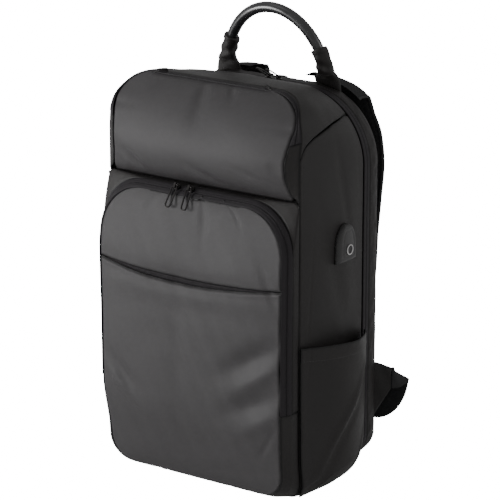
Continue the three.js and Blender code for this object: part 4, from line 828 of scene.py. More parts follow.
def root_at(z):
    """Half width of the back seam at a height, round its foot corner."""
    under = np.clip(REAR["low"] + REAR["foot"] - z, 0, None)
    return REAR["half"] - REAR["foot"] + np.sqrt(REAR["foot"] ** 2 - under**2)


def wing_surface(side, t, z_share, face):
    """One face of a wing: it narrows from its root to the webbing, with a rolled hem."""
    low = WING_LOW + (WING_TIP - WEBBING_WIDTH / 2 - GAP - WING_LOW) * t**0.8
    high = WING_HIGH + (WING_TIP + WEBBING_WIDTH / 2 + GAP - WING_HIGH) * t
    z = low + (high - low) * z_share
    out = np.array([-WING_WAY[1], WING_WAY[0], 0])
    root = np.stack([root_at(z), np.full_like(z, BODY_DEPTH), z], -1)
    edge = np.minimum(bump(z_share) * 8, 1)
    push = face * WING_WALL / 2 * (0.35 + 0.65 * edge)
    push = push + 0.5 * np.sin(t * 5 + z_share * 7) * bump(t)
    reach = 2 * GAP + t * WING_REACH - WING_ROOT * (1 - t) ** 3
    grid = root + WING_WAY * reach[..., None] + out * push[..., None]
    grid[..., 0] *= side
    return grid


WING_END = (np.array([float(root_at(np.array(float(WING_TIP)))), BODY_DEPTH, WING_TIP])
            + WING_WAY * (4 * GAP + WING_REACH))
SLACK = np.array([
    (0, 0, 0, 0, 0, -1), (3.2, 2.4, 0, 0, 0, -1), (4.6, 6, 0.6, 0.35, -0.1, -0.93),
    (4, 10, 1.4, 0.74, 0, -0.67), (2.2, 14, 1, 0.97, 0, -0.24), (0.8, 17, -2, 1, 0, 0),
    (-0.5, 17.4, -9, 1, 0, 0), (-3.5, 17, -20, 0.95, 0, -0.3), (-9, 16, -31, 0.87, 0, -0.5),
    (-17, 14.5, -40, 0.66, 0, -0.75), (-27, 12.5, -45, 0.3, 0, -0.95),
    (-37, 11, -44, -0.15, 0, -0.99), (-45.5, 10, -37.5, -0.55, 0, -0.83),
    (-51.5, 9.4, -27.5, -0.83, 0, -0.55), (-55.5, 9, -14.5, -0.97, 0, -0.2),
])
LOCK_AT = np.array([STRAP["spread"][-1] * STRAP_SPREAD,
                    BODY_DEPTH + STRAP["stand"][-1] * STRAP_STAND - STRAP_EDGE / 2,
                    STRAP_FOOT - LOCK_DROP])


def lower_webbing(side):
    """The webbing from a wing's tip in a slack loop to the lock, up behind its foot bar, over its
    middle bar and back in, with a short end."""
    stand = LOCK_THICK / 2 + WEBBING_THICK / 2 + 2 * GAP
    low = -(LOCK_RAIL / 2 + LOWER_SLOT + LOCK_FOOT_BAR)
    upper = LOCK_RAIL / 2 + UPPER_SLOT * 0.4
    lower = -LOCK_RAIL / 2 - LOWER_SLOT / 2
    tail = stand + WEBBING_THICK + 3 * GAP
    thread = [
        (-stand - 0.4, low - 2), (-stand, low + LOCK_FOOT_BAR),
        (-stand * 0.97, lower - stand * 0.97), (stand * 0.97, lower + stand * 0.97),
        (stand, -LOCK_RAIL / 4), (stand * 0.97, upper - stand * 0.97),
        (-stand * 0.97, upper + stand * 0.97), (-stand - 1.3, upper + stand + 0.6),
        (-tail, upper + stand - 0.8), (-tail - 0.2, LOCK_RAIL), (-tail - 0.4, lower),
        (-tail - 0.8, low - 6),
    ]
    middles = np.concatenate([SLACK[:, :3] + WING_END, [LOCK_AT + (0, a, b) for a, b in thread]])
    ways = np.concatenate([SLACK[:, 3:], np.tile([-1.0, 0, 0], (len(thread), 1))])
    flip = np.array([side, 1, 1])
    return middles * flip, ways * flip


def loop_webbing(side):
    """The short loop round a lock's top bar, up to the strap's foot."""
    radius = math.hypot(LOCK_RAIL, LOCK_THICK) / 2 + GAP + WEBBING_THICK / 2
    bar = LOCK_RAIL / 2 + UPPER_SLOT + LOCK_RAIL / 2
    end = LOCK_DROP - GAP
    turn = np.pi * (1 + np.linspace(0, 1, 13))
    middles = [LOCK_AT + (0, -WEBBING_THICK, end)]
    middles += [LOCK_AT + (0, radius * math.cos(a), bar + radius * math.sin(a)) for a in turn]
    middles += [LOCK_AT + (0, WEBBING_THICK, end)]
    flip = np.array([side, 1, 1])
    return np.array(middles) * flip, np.tile([-1.0, 0, 0], (len(middles), 1)) * flip


# Meshes
def add_mesh(name, points, quads, corner_map=None):
    """A mesh object from arrays of points in layout millimetres and of quads, with a corner map."""
    mesh = bpy.data.meshes.new(name)
    points = (points.reshape(-1, 3) + SHIFT) / 1000
    mesh.vertices.add(len(points))
    mesh.vertices.foreach_set("co", points.astype(np.float32).ravel())
    mesh.loops.add(quads.size)
    mesh.loops.foreach_set("vertex_index", quads.ravel().astype(np.int32))
    mesh.polygons.add(len(quads))
    mesh.polygons.foreach_set("loop_start", np.arange(0, quads.size, 4, dtype=np.int32))
    mesh.polygons.foreach_set("use_smooth", np.ones(len(quads), bool))
    if corner_map is not None:
        layer = mesh.uv_layers.new(name="cloth")
        layer.data.foreach_set("uv", corner_map[quads.ravel()].astype(np.float32).ravel())
    mesh.update()
    mesh.validate()
    obj = bpy.data.objects.new(name, mesh)
    bpy.context.scene.collection.objects.link(obj)
    return obj


def grid_quads(rows_count, columns, wrap=False):
    """Corner numbers of a grid's quads; a wrapped grid's last column joins its first."""
    i, j = np.meshgrid(np.arange(rows_count - 1), np.arange(columns if wrap else columns - 1), indexing="ij")
    k = (j + 1) % columns
    return np.stack([i * columns + j, i * columns + k, (i + 1) * columns + k, (i + 1) * columns + j],
        -1).reshape(-1, 4)


def cloth_map(grid):
    """Lengths along a grid's lines in centimetres, as its map: across its middle row, up its middle
    column."""
    over = np.linalg.norm(np.diff(grid, axis=1), axis=-1)
    down = np.linalg.norm(np.diff(grid, axis=0), axis=-1)
    x = np.concatenate([np.zeros((len(grid), 1)), np.cumsum(over, 1)], 1)
    y = np.concatenate([np.zeros((1, grid.shape[1])), np.cumsum(down, 0)], 0)
    return np.stack([x, y], -1).reshape(-1, 2) / 10


def faced(grid, quads, core):
    """Turns all quads over where they face towards the core."""
    p = grid.reshape(-1, 3)
    a, b, c = p[quads[:, 0]], p[quads[:, 1]], p[quads[:, 2]]
    out = (np.cross(b - a, c - a) * (a - core)).sum()
    return quads if out > 0 else quads[:, ::-1]


def cloth_piece(name, grid, thickness, material, core=CORE):
    """An open panel with a real thickness inward, from its outside."""
    quads = faced(grid, grid_quads(*grid.shape[:2]), core)
    obj = add_mesh(name, grid, quads, cloth_map(grid))
    wall = obj.modifiers.new("Thickness", "SOLIDIFY")
    wall.thickness = thickness / 1000
    wall.offset = -1
    obj.data.materials.append(material)
    return obj


def closed_tube(name, grid, material):
    """A tube whose ends close over their middles."""
    count, around = grid.shape[:2]
    quads = grid_quads(count, around, True)
    points = grid.reshape(-1, 3)
    middle = grid.mean(axis=(0, 1))
    sides = np.cross(points[quads[:, 1]] - points[quads[:, 0]], points[quads[:, 2]] - points[quads[:, 0]])
    ring = np.repeat(grid[:-1].mean(1), around, 0)
    turned = (sides * (points[quads[:, 0]] - ring)).sum() < 0
    if turned:
        quads = quads[:, ::-1]
    joined = cloth_map(np.concatenate([grid, grid[:, :1]], 1))
    uv = joined.reshape(count, around + 1, 2)[:, :-1].reshape(-1, 2)
    half = around // 2
    caps = []
    for row, flip in ((0, turned), (count - 1, not turned)):
        base = row * around
        for k in range(half - 1):
            quad = [base + k, base + k + 1, base + around - k - 2, base + (around - k - 1) % around]
            caps.append(quad if not flip else quad[::-1])
    quads = np.concatenate([quads, np.array(caps)[:, ::-1]])
    obj = add_mesh(name, points, quads, uv)
    obj.data.materials.append(material)
    return obj


def stitches(name, points, normals_out, run, material, length=2.4, width=0.75, raise_by=0.25):
    """Thread: short rounded stitches at points, along their run, lifted off the cloth."""
    ring = np.array([(-1, 0), (-0.5, -1), (0.5, -1), (1, 0), (0.5, 1), (-0.5, 1)], float)
    count = len(points)
    side = np.cross(normals_out, run)
    side /= np.linalg.norm(side, axis=1, keepdims=True)
    low = (points[:, None] + run[:, None] * (ring[:, 0] * length / 2)[None, :, None]
           + side[:, None] * (ring[:, 1] * width / 2)[None, :, None])
    high = (points[:, None] + run[:, None] * (ring[:, 0] * length / 3.2)[None, :, None]
            + side[:, None] * (ring[:, 1] * width / 4)[None, :, None]
            + normals_out[:, None] * raise_by)
    grid = np.stack([low - normals_out[:, None] * 0.3, high], 1).reshape(-1, 3)
    quads = []
    for k in range(6):
        quads.append([k, (k + 1) % 6, 6 + (k + 1) % 6, 6 + k])
    quads += [[6, 7, 8, 9], [6, 9, 10, 11]]
    quads = (np.arange(count)[:, None, None] * 12 + np.array(quads)[None]).reshape(-1, 4)
    obj = add_mesh(name, grid, quads)
    obj.data.materials.append(material)
    return obj


def line_stitches(name, line, out, material, spacing):
    """Stitches at equal spaces along a line of points with outward directions."""
    gaps = np.linalg.norm(np.diff(line, axis=0), axis=1)
    way = np.concatenate([[0], np.cumsum(gaps)])
    at = np.arange(spacing / 2, way[-1], spacing)
    points = np.stack([np.interp(at, way, line[:, k]) for k in range(3)], -1)
    ahead = np.stack([np.interp(at + 0.4, way, line[:, k]) for k in range(3)], -1)
    normal = np.stack([np.interp(at, way, out[:, k]) for k in range(3)], -1)
    run = ahead - points
    run /= np.maximum(np.linalg.norm(run, axis=1, keepdims=True), 1e-9)
    normal -= (normal * run).sum(1, keepdims=True) * run
    normal /= np.linalg.norm(normal, axis=1, keepdims=True)
    return stitches(name, points, normal, run, material)


# Materials
def node(tree, kind, inputs=None, **settings):
    """Adds a shader node, sets its settings, and sets or links its inputs."""
    made = tree.nodes.new(kind)
    for key, value in settings.items():
        setattr(made, key, value)
    for key, value in (inputs or {}).items():
        if isinstance(value, bpy.types.NodeSocket):
            tree.links.new(value, made.inputs[key])
        else:
            made.inputs[key].default_value = value
    return made


def maths(tree, operation, a, b=0.0):
    """One sum of two numbers or sockets."""
    return node(tree, "ShaderNodeMath", {0: a, 1: b}, operation=operation).outputs[0]


def group(name, inputs, outputs):
    """An empty node group with named number or vector sockets."""
    tree = bpy.data.node_groups.new(name, "ShaderNodeTree")
    for label, kind, value in inputs:
        socket = tree.interface.new_socket(label, in_out="INPUT", socket_type=kind)
        if kind == "NodeSocketFloat":
            socket.default_value = value
    for label in outputs:
        tree.interface.new_socket(label, in_out="OUTPUT", socket_type="NodeSocketFloat")
    return tree, tree.nodes.new("NodeGroupInput").outputs, tree.nodes.new("NodeGroupOutput").inputs


def weave_group():
    """Cloth weave: threads across and along as two sine bands, and a slow mottle of the yarn."""
    if "Cloth weave" in bpy.data.node_groups:
        return bpy.data.node_groups["Cloth weave"]
    tree, given, out = group("Cloth weave", [
        ("Vector", "NodeSocketVector", None), ("Threads per cm", "NodeSocketFloat", 16.0),
        ("Mottle", "NodeSocketFloat", 0.5)], ["Height", "Shade"])
    scale = maths(tree, "MULTIPLY", given["Threads per cm"], 2 * math.pi / 20)
    bands = [node(tree, "ShaderNodeTexWave", {"Vector": given["Vector"], "Scale": scale, "Distortion": 0.4},
                  bands_direction=way).outputs["Fac"] for way in "XY"]
    tree.links.new(maths(tree, "MAXIMUM", *bands), out["Height"])
    coarse = node(tree, "ShaderNodeTexNoise", {"Vector": given["Vector"], "Scale": 1.6, "Detail": 4.0})
    fine = node(tree, "ShaderNodeTexNoise", {"Vector": given["Vector"], "Scale": 22.0, "Detail": 2.0})
    sum_up = maths(tree, "ADD", maths(tree, "MULTIPLY", coarse.outputs["Fac"], 0.5),
                   maths(tree, "MULTIPLY", fine.outputs["Fac"], 0.5))
    offset = maths(tree, "MULTIPLY", maths(tree, "SUBTRACT", sum_up, 0.5), given["Mottle"])
    tree.links.new(maths(tree, "ADD", offset, 0.5), out["Shade"])
    return tree


def holes_group():
    """Air mesh: a diamond net whose holes are where two slanting sine bands are both low."""
    if "Air mesh" in bpy.data.node_groups:
        return bpy.data.node_groups["Air mesh"]
    tree, given, out = group("Air mesh", [
        ("Vector", "NodeSocketVector", None), ("Holes per cm", "NodeSocketFloat", 3.0)], ["Height", "Hole"])
    turned = node(tree, "ShaderNodeMapping", {"Vector": given["Vector"],
        "Rotation": (0, 0, math.radians(45))})
    scale = maths(tree, "MULTIPLY", given["Holes per cm"], 2 * math.pi / 20)
    bands = [node(tree, "ShaderNodeTexWave", {"Vector": turned.outputs[0], "Scale": scale},
                  bands_direction=way).outputs["Fac"] for way in "XY"]
    net = maths(tree, "MAXIMUM", *bands)
    tree.links.new(net, out["Height"])
    hole = node(tree, "ShaderNodeMapRange", {"Value": net, "From Min": 0.42, "From Max": 0.6,
        "To Min": 1.0, "To Max": 0.0})
    tree.links.new(hole.outputs[0], out["Hole"])
    return tree


def ramp(tree, factor, dark, light, low=0.0, high=1.0):
    """A colour between two others by a number."""
    made = node(tree, "ShaderNodeValToRGB", {"Fac": factor})
    made.color_ramp.elements[0].position, made.color_ramp.elements[1].position = low, high
    made.color_ramp.elements[0].color, made.color_ramp.elements[1].color = dark, light
    return made.outputs[0]


def toned(colour, factor):
    """A colour made darker or lighter, with full alpha."""
    return tuple(min(1.0, c * factor) for c in colour[:3]) + (1.0,)


def finish_of(name, roughness, metallic=0.0, **sockets):
    """A new material with its shader, and the tree to feed it."""
    made = bpy.data.materials.new(name)
    made.use_nodes = True
    shader = made.node_tree.nodes["Principled BSDF"]
    shader.inputs["Roughness"].default_value = roughness
    shader.inputs["Metallic"].default_value = metallic
    for key, value in sockets.items():
        shader.inputs[key.replace("_", " ")].default_value = value
    return made, made.node_tree, shader


def bumped(tree, shader, heights):
    """Feeds a chain of bumps into the shader: pairs of a height and its depth in millimetres."""
    normal = None
    for height, depth in heights:
        inputs = {"Height": height, "Distance": depth / 1000, "Strength": 1.0}
        if normal is not None:
            inputs["Normal"] = normal
        normal = node(tree, "ShaderNodeBump", inputs).outputs[0]
    tree.links.new(normal, shader.inputs["Normal"])


def ranged(tree, value, low, high, first=0.0, last=1.0):
    """A number carried from one range to another, held at both ends."""
    return node(tree, "ShaderNodeMapRange", {
        "Value": value, "From Min": low, "From Max": high, "To Min": first, "To Max": last,
    }).outputs[0]


def wave(tree, vector, scale, way, distortion=0.0):
    """Sine bands along one way."""
    return node(tree, "ShaderNodeTexWave", {"Vector": vector, "Scale": scale, "Distortion": distortion},
                bands_direction=way).outputs["Fac"]


def grouped(tree, made, vector, **values):
    """Places a node group in a material, with its vector and its own values."""
    placed_group = tree.nodes.new("ShaderNodeGroup")
    placed_group.node_tree = made
    tree.links.new(vector, placed_group.inputs["Vector"])
    for key, value in values.items():
        placed_group.inputs[key.replace("_", " ")].default_value = value
    return placed_group.outputs


def dress(node_name, material):
    """Gives a CAD node that stays in sight its material."""
    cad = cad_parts[node_name]
    cad.data.materials.clear()
    cad.data.materials.append(material)


def known(make):
    """Keeps each material after its first making."""
    store = {}

    def kept(*key):
        if key not in store:
            store[key] = make(*key)
        return store[key]
    return kept


@known
def cloth_material(name, slot_colour, threads, rough, crumple):
    """Coated cloth: weave, mottled yarn, small crumples, painted shade darkening the seams, and puckers along
    them with painted highlights.
    """
    made, tree, shader = finish_of(name, rough, Specular_IOR_Level=0.22)
    uv = node(tree, "ShaderNodeUVMap", uv_map="cloth").outputs[0]
    weave = grouped(tree, weave_group(), uv, Threads_per_cm=threads)
    place = node(tree, "ShaderNodeTexCoord").outputs["Object"]
    seam = node(tree, "ShaderNodeAttribute", attribute_name="seam").outputs["Fac"]
    soft = node(tree, "ShaderNodeTexNoise", {"Vector": place, "Scale": 55.0, "Detail": 3.0,
        "Roughness": 0.45, "Distortion": 0.6})
    pucker = node(tree, "ShaderNodeTexNoise", {"Vector": place, "Scale": 130.0, "Detail": 1.0})
    pucker_relief_and_highlight = maths(tree, "MULTIPLY", pucker.outputs["Fac"], seam)
    # Painted shade: the seam mask darkens the colour towards every border.
    shade = maths(tree, "SUBTRACT", weave["Shade"], maths(tree, "MULTIPLY", seam, 0.3))
    # Painted highlight: the puckers near the seams lighten the colour; the same noise also bumps them.
    shade = maths(tree, "ADD", shade, maths(tree, "MULTIPLY", pucker_relief_and_highlight, 0.3))
    colour = ramp(tree, shade, toned(slot_colour, 0.72), toned(slot_colour, 1.28), 0.2, 0.8)
    # Painted shade: right at the seams the colour falls almost to black, as if shaded in a groove.
    edge = ranged(tree, seam, 0.78, 0.96)
    mixed = node(tree, "ShaderNodeMix", {0: edge, 6: colour, 7: toned(slot_colour, 0.1)}, data_type="RGBA")
    tree.links.new(mixed.outputs[2], shader.inputs["Base Color"])
    bumped(tree, shader, [(soft.outputs["Fac"], crumple), (pucker_relief_and_highlight, 0.9), (weave["Height"], 0.05)])
    return made


@known
def tape_material(name, colour):
    """Zipper tape: fine ribs along it, coil teeth across it near the middle, and painted shade in the groove
    where the tapes meet.
    """
    made, tree, shader = finish_of(name, 0.62, Specular_IOR_Level=0.22)
    uv = node(tree, "ShaderNodeUVMap", uv_map="cloth").outputs[0]
    share = node(tree, "ShaderNodeUVMap", uv_map="share").outputs[0]
    over = node(tree, "ShaderNodeSeparateXYZ", {0: share}).outputs["Y"]
    off_middle = maths(tree, "MULTIPLY", maths(tree, "ABSOLUTE", maths(tree, "SUBTRACT", over, 0.5)), 2.0)
    near = ranged(tree, off_middle, 0.16, 0.3, 1.0, 0.0)
    groove = ranged(tree, off_middle, 0.0, 0.07, 1.0, 0.0)
    teeth = wave(tree, uv, 1.9, "X")
    ribs = wave(tree, uv, 4.5, "Y")
    coil = maths(tree, "MULTIPLY", teeth, near)
    # Painted shade: the colour darkens in the middle groove where the two tapes meet.
    shade = maths(tree, "SUBTRACT", maths(tree, "ADD", maths(tree, "MULTIPLY", coil, 0.35), 0.5),
        maths(tree, "MULTIPLY", groove, 0.5))
    shade = maths(tree, "ADD", shade, maths(tree, "MULTIPLY", ribs, 0.06))
    tree.links.new(ramp(tree, shade, toned(colour, 0.3), toned(colour, 1.7)), shader.inputs["Base Color"])
    bumped(tree, shader, [(coil, 0.35), (ribs, 0.08)])
    return made


@known
def mesh_material(name, colour):
    """Spacer mesh over foam: a diamond net with painted shade in its holes, and slow unevenness."""
    made, tree, shader = finish_of(name, 0.8, Specular_IOR_Level=0.2)
    uv = node(tree, "ShaderNodeUVMap", uv_map="cloth").outputs[0]
    net = grouped(tree, holes_group(), uv)
    place = node(tree, "ShaderNodeTexCoord").outputs["Object"]
    soft = node(tree, "ShaderNodeTexNoise", {"Vector": place, "Scale": 40.0, "Detail": 3.0})
    # Painted shade: the colour darkens in the net's holes, which are only a bump, as if shaded inside.
    shade = maths(tree, "SUBTRACT", maths(tree, "ADD",
        maths(tree, "MULTIPLY", soft.outputs["Fac"], 0.4), 0.45),
                  maths(tree, "MULTIPLY", net["Hole"], 0.4))
    tree.links.new(ramp(tree, shade, toned(colour, 0.35), toned(colour, 1.5)), shader.inputs["Base Color"])
    bumped(tree, shader, [(soft.outputs["Fac"], 0.6), (net["Height"], 0.35)])
    return made


@known
def webbing_material(name, colour):
    """Webbing: ribs along it crossed by a tight herringbone."""
    made, tree, shader = finish_of(name, 0.66, Specular_IOR_Level=0.25)
    uv = node(tree, "ShaderNodeUVMap", uv_map="cloth").outputs[0]
    ribs = wave(tree, uv, 2.6, "X")
    cross = wave(tree, uv, 3.4, "DIAGONAL", 0.3)
    both = maths(tree, "ADD", maths(tree, "MULTIPLY", ribs, 0.6), maths(tree, "MULTIPLY", cross, 0.4))
    tree.links.new(ramp(tree, both, toned(colour, 0.6), toned(colour, 1.35)), shader.inputs["Base Color"])
    bumped(tree, shader, [(both, 0.25)])
    return made


@known
def moulded_material(name, colour, rough, metal, grain):
    """Moulded or cast parts: fine grain, and uneven gloss from handling."""
    made, tree, shader = finish_of(name, rough, metal)
    place = node(tree, "ShaderNodeTexCoord").outputs["Object"]
    fine = node(tree, "ShaderNodeTexNoise", {"Vector": place, "Scale": 900.0, "Detail": 2.0})
    smear = node(tree, "ShaderNodeTexNoise", {"Vector": place, "Scale": 60.0, "Detail": 4.0})
    tree.links.new(ramp(tree, smear.outputs["Fac"], toned(colour, 0.75), toned(colour, 1.25), 0.3,
        0.7), shader.inputs["Base Color"])
    gloss = node(tree, "ShaderNodeMapRange", {"Value": smear.outputs["Fac"], "From Min": 0.3,
        "From Max": 0.7, "To Min": rough * 0.8, "To Max": min(1.0, rough * 1.25)})
    tree.links.new(gloss.outputs[0], shader.inputs["Roughness"])
    bumped(tree, shader, [(fine.outputs["Fac"], grain)])
    return made


def settings():
    return bpy.context.scene.backpack_settings


def front_cloth():
    return cloth_material("Front cloth", tuple(settings().front_colour), 14.0, 0.56, 0.16)


def shell_cloth():
    return cloth_material("Body cloth", tuple(settings().shell_colour), 14.0, 0.54, 0.22)


def zipper_tape():
    return tape_material("Zipper tape", tuple(settings().tape_colour))


def air_mesh():
    return mesh_material("Air mesh", tuple(settings().mesh_colour))


def web():
    return webbing_material("Webbing", tuple(settings().webbing_colour))


def plastic():
    return moulded_material("Lock plastic", tuple(settings().plastic_colour), 0.42, 0.0, 0.03)


def rubber():
    return moulded_material("Port rubber", tuple(settings().rubber_colour), 0.5, 0.0, 0.04)


def mark():
    return moulded_material("Mark ring", (0.4, 0.39, 0.39), 0.5, 0.0, 0.01)


def grip():
    return moulded_material("Grip tube", (0.012, 0.012, 0.013), 0.28, 0.0, 0.01)


def metal():
    return moulded_material("Dark metal", tuple(settings().metal_colour), 0.34, 1.0, 0.01)


def thread():
    return moulded_material("Thread", (0.02, 0.019, 0.02), 0.6, 0.0, 0.02)


# Helpers for the operators
def seam_mask(obj, grid, reach=5.0):
    """Stores how near each point is to a border, a bell curve of the distance, as `seam`, which the cloth
    shader uses for painted shade at the seams; and the shares across the grid as a second map."""
    down, over = edge_distance(grid)
    near = np.exp(-((np.minimum(down, over) / reach) ** 2))
    layer = obj.data.attributes.new("seam", "FLOAT", "POINT")
    layer.data.foreach_set("value", near.astype(np.float32).ravel())
    v, u = np.meshgrid(np.linspace(0, 1, grid.shape[0]), np.linspace(0, 1, grid.shape[1]), indexing="ij")
    shares = np.stack([u, v], -1).reshape(-1, 2)
    index = np.zeros(len(obj.data.loops), np.int32)
    obj.data.loops.foreach_get("vertex_index", index)
    layer = obj.data.uv_layers.new(name="share")
    layer.data.foreach_set("uv", shares[index].astype(np.float32).ravel())


def panel(name, surface, counts, thickness, material, slot, replaced, core=CORE, seam=PANEL_ROLL):
    """A cloth panel over a surface of two shares, with its borders sewn in."""
    v, u = np.meshgrid(edged(counts[0]), edged(counts[1], 0.5), indexing="ij")
    grid = surface(v, u)
    if seam:
        grid = sewn(grid, core, seam)
    obj = cloth_piece(name, grid, thickness, material, core)
    seam_mask(obj, grid)
    return placed(obj, replaced)


def placed(obj, replaced=None):
    """Rides a piece on the bag, and hides the CAD node that it stands for."""
    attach(obj, "bag")
    if replaced:
        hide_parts(replaced)
    return obj


def mirrored_surface(surface):
    """The left piece's surface: the right one's with x turned round."""
    return lambda v, u: surface(v, u) * np.array([-1, 1, 1])


HANDS = (("left", -1), ("right", 1))


def colour_of(name, description, default):
    """A colour that a maker would change."""
    return FloatVectorProperty(
        name=name, description=description, subtype="COLOR", size=3, default=default)


class BACKPACK_settings(PropertyGroup):
    """Sizes and colours that a maker would change."""
    wall: FloatProperty(name="Cloth", description="Thickness of the shell cloth, in millimetres",
        default=1.6, min=0.4, max=3)
    front_colour: colour_of("Front cloth", "Colour of the two front pockets", (0.0268, 0.0252, 0.0262))
    shell_colour: colour_of("Shell cloth", "Colour of sides, top and base", (0.0096, 0.0084, 0.0081))
    # The shell cloth is set about three times darker than the front cloth: partly its own tone, partly
    # painted shade for the sides, which the key light misses.
    tape_colour: colour_of("Zipper tape", "Colour of the zippers", (0.0072, 0.0058, 0.0072))
    mesh_colour: colour_of("Air mesh", "Colour of the back and straps", (0.010, 0.010, 0.0105))
    webbing_colour: colour_of("Webbing", "Colour of the webbing", (0.009, 0.009, 0.0095))
    plastic_colour: colour_of("Locks", "Colour of the ladder locks", (0.008, 0.008, 0.0085))
    rubber_colour: colour_of("Port cover", "Colour of the port's rubber cover", (0.010, 0.0095, 0.0095))
    metal_colour: colour_of("Metal", "Colour of sliders and pulls", (0.05, 0.047, 0.047))
    stitch_gap: FloatProperty(name="Stitch spacing",
        description="Distance between stitches, in millimetres", default=3.6, min=2, max=8)
    light: FloatProperty(name="Light", description="Strength of the studio lights", default=1.8, min=0, max=5)


class BACKPACK_OT_body(Operator):
    """Side, top, rear and base panels, the plain wall inside and the padded back"""
    bl_idname = "backpack.body"
    bl_label = "Body"

    def execute(self, context):
        wall = settings().wall
        for hand, side in HANDS:
            surface = side_panel if side > 0 else mirrored_surface(side_panel)
            panel(f"cloth_side_panel_{hand}", surface, (80, 150), wall, shell_cloth(), "shell_cloth",
                f"side_panel_{hand}")
        panel("cloth_top_panel", top_panel, (80, 190), wall, shell_cloth(), "shell_cloth", "top_panel")
        panel("cloth_rear_strip", strip, (16, 420), wall, shell_cloth(), "shell_cloth", "rear_strip",
            seam=0.9)
        panel("cloth_base_panel", base_surface, (90, 130), FACE_CLOTH, shell_cloth(), "shell_cloth",
            "base_panel")
        back = panel("padded_back", back_surface, (190, 130), 4.0, air_mesh(), "air_mesh",
            "back_panel", seam=2.0)
        dress("partition", inner_cloth())
        return {"FINISHED"}


@known
def plain_cloth_material(name, colour):
    """Lining cloth: the weave in the piece's own Object coordinates, for pieces without a map."""
    made, tree, shader = finish_of(name, 0.7, Specular_IOR_Level=0.2)
    place = node(tree, "ShaderNodeTexCoord").outputs["Object"]
    scaled = node(tree, "ShaderNodeMapping", {"Vector": place, "Scale": (100, 100, 100)})
    weave = grouped(tree, weave_group(), scaled.outputs[0])
    tree.links.new(ramp(tree, weave["Shade"], toned(colour, 0.6), toned(colour, 1.4), 0.2,
        0.8), shader.inputs["Base Color"])
    bumped(tree, shader, [(weave["Height"], 0.05)])
    return made


def inner_cloth():
    return plain_cloth_material("Lining", tuple(settings().shell_colour))


class BACKPACK_OT_zippers(Operator):
    """The zippers' tapes with their coils"""
    bl_idname = "backpack.zippers"
    bl_label = "Zippers"

    def execute(self, context):
        wall = settings().wall
        main = band(arch_at(ZIP_DEPTH), arch_at(ZIP_BACK), tape_rise)
        panel("tape_main_zipper", main, (26, 420), wall, zipper_tape(), "zipper_tape", "main_zipper", seam=0)
        pocket = band(pocket_arch(face_seam), pocket_arch(middle_seam), tape_rise)
        panel("tape_front_pocket", pocket, (26, 380), wall, zipper_tape(), "zipper_tape",
            "front_pocket_zipper", seam=0)
        upper = band(upper_arch(lambda c: upper_seam(c + 5), 6), upper_arch(upper_rear, 5), tape_rise)
        panel("tape_upper_pocket", upper, (26, 240), wall, zipper_tape(), "zipper_tape",
            "upper_pocket_zipper", seam=0)
        panel("tape_slit", slit_tape, (12, 120), wall, zipper_tape(), "zipper_tape", "slit_zipper", seam=0)
        return {"FINISHED"}


class BACKPACK_OT_front_pocket(Operator):
    """The large front pocket: gusset, foot, and its face above and below the slit"""
    bl_idname = "backpack.front_pocket"
    bl_label = "Front pocket"

    def execute(self, context):
        wall = settings().wall
        flat = lambda v: 0.8 * bump(v)
        gusset = band(pocket_arch(middle_seam), pocket_arch(base_seam), flat)
        panel("cloth_pocket_gusset", gusset, (26, 320), wall, shell_cloth(), "shell_cloth",
            "front_pocket_gusset", seam=0.8)

        def foot(v, u):
            near, mid, far = (pocket_foot_line(s)(u) for s in (face_seam, middle_seam, base_seam))
            t = (v * 2)[..., None]
            return np.where(t < 1, near * (1 - t) + mid * t, mid * (2 - t) + far * (t - 1))
        panel("cloth_pocket_foot", foot, (40, 260), wall, shell_cloth(), "shell_cloth",
            "front_pocket_foot", seam=0.8)
        panel("cloth_face_lower", lower_face, (190, 190), FACE_CLOTH, front_cloth(), "front_cloth",
            "front_panel_lower", seam=FACE_ROLL)
        panel("cloth_face_upper", upper_face, (80, 190), FACE_CLOTH, front_cloth(), "front_cloth",
            "front_panel_upper", seam=FACE_ROLL)
        return {"FINISHED"}


class BACKPACK_OT_upper_pocket(Operator):
    """The upper pocket: its bulging face and the gussets at its sides"""
    bl_idname = "backpack.upper_pocket"
    bl_label = "Upper pocket"

    def execute(self, context):
        core = np.array([0, BODY_DEPTH / 2, (CREASE_HEIGHT + BODY_RIDGE) / 2])
        panel("cloth_upper_face", upper_face_surface, (110, 190), FACE_CLOTH, front_cloth(),
            "front_cloth", "upper_panel", core, seam=FACE_ROLL)

        def gusset(v, u):
            near, far = upper_seam(5 + 1 + u * 5), upper_rear(u * 5)
            return near * (1 - v[..., None]) + far * v[..., None]
        for hand, side in HANDS:
            surface = gusset if side > 0 else mirrored_surface(gusset)
            panel(f"cloth_upper_gusset_{hand}", surface, (14, 60), settings().wall, shell_cloth(),
                "shell_cloth", f"upper_gusset_{hand}", seam=0.5)
        return {"FINISHED"}


class BACKPACK_OT_side_pockets(Operator):
    """The slack pockets over the sides"""
    bl_idname = "backpack.side_pockets"
    bl_label = "Side pockets"

    def execute(self, context):
        for hand, side in HANDS:
            surface = side_pocket if side > 0 else mirrored_surface(side_pocket)
            panel(f"cloth_side_pocket_{hand}", surface, (80, 100), 1.8, shell_cloth(), "shell_cloth",
                f"side_pocket_{hand}", seam=0.3)
        return {"FINISHED"}


class BACKPACK_OT_port(Operator):
    """The charging port's rubber cover and its round mark"""
    bl_idname = "backpack.port"
    bl_label = "Port cover"

    def execute(self, context):
        t, u = np.meshgrid(edged(60), edged(60), indexing="ij")
        grid = port_surface(t, u)
        core = grid.mean(axis=(0, 1)) - (40, 0, 0)
        cover = cloth_piece("rubber_port_cover", grid, 0.6, rubber(), core)
        placed(cover, "port_cover")
        dress("port_ring", mark())
        return {"FINISHED"}


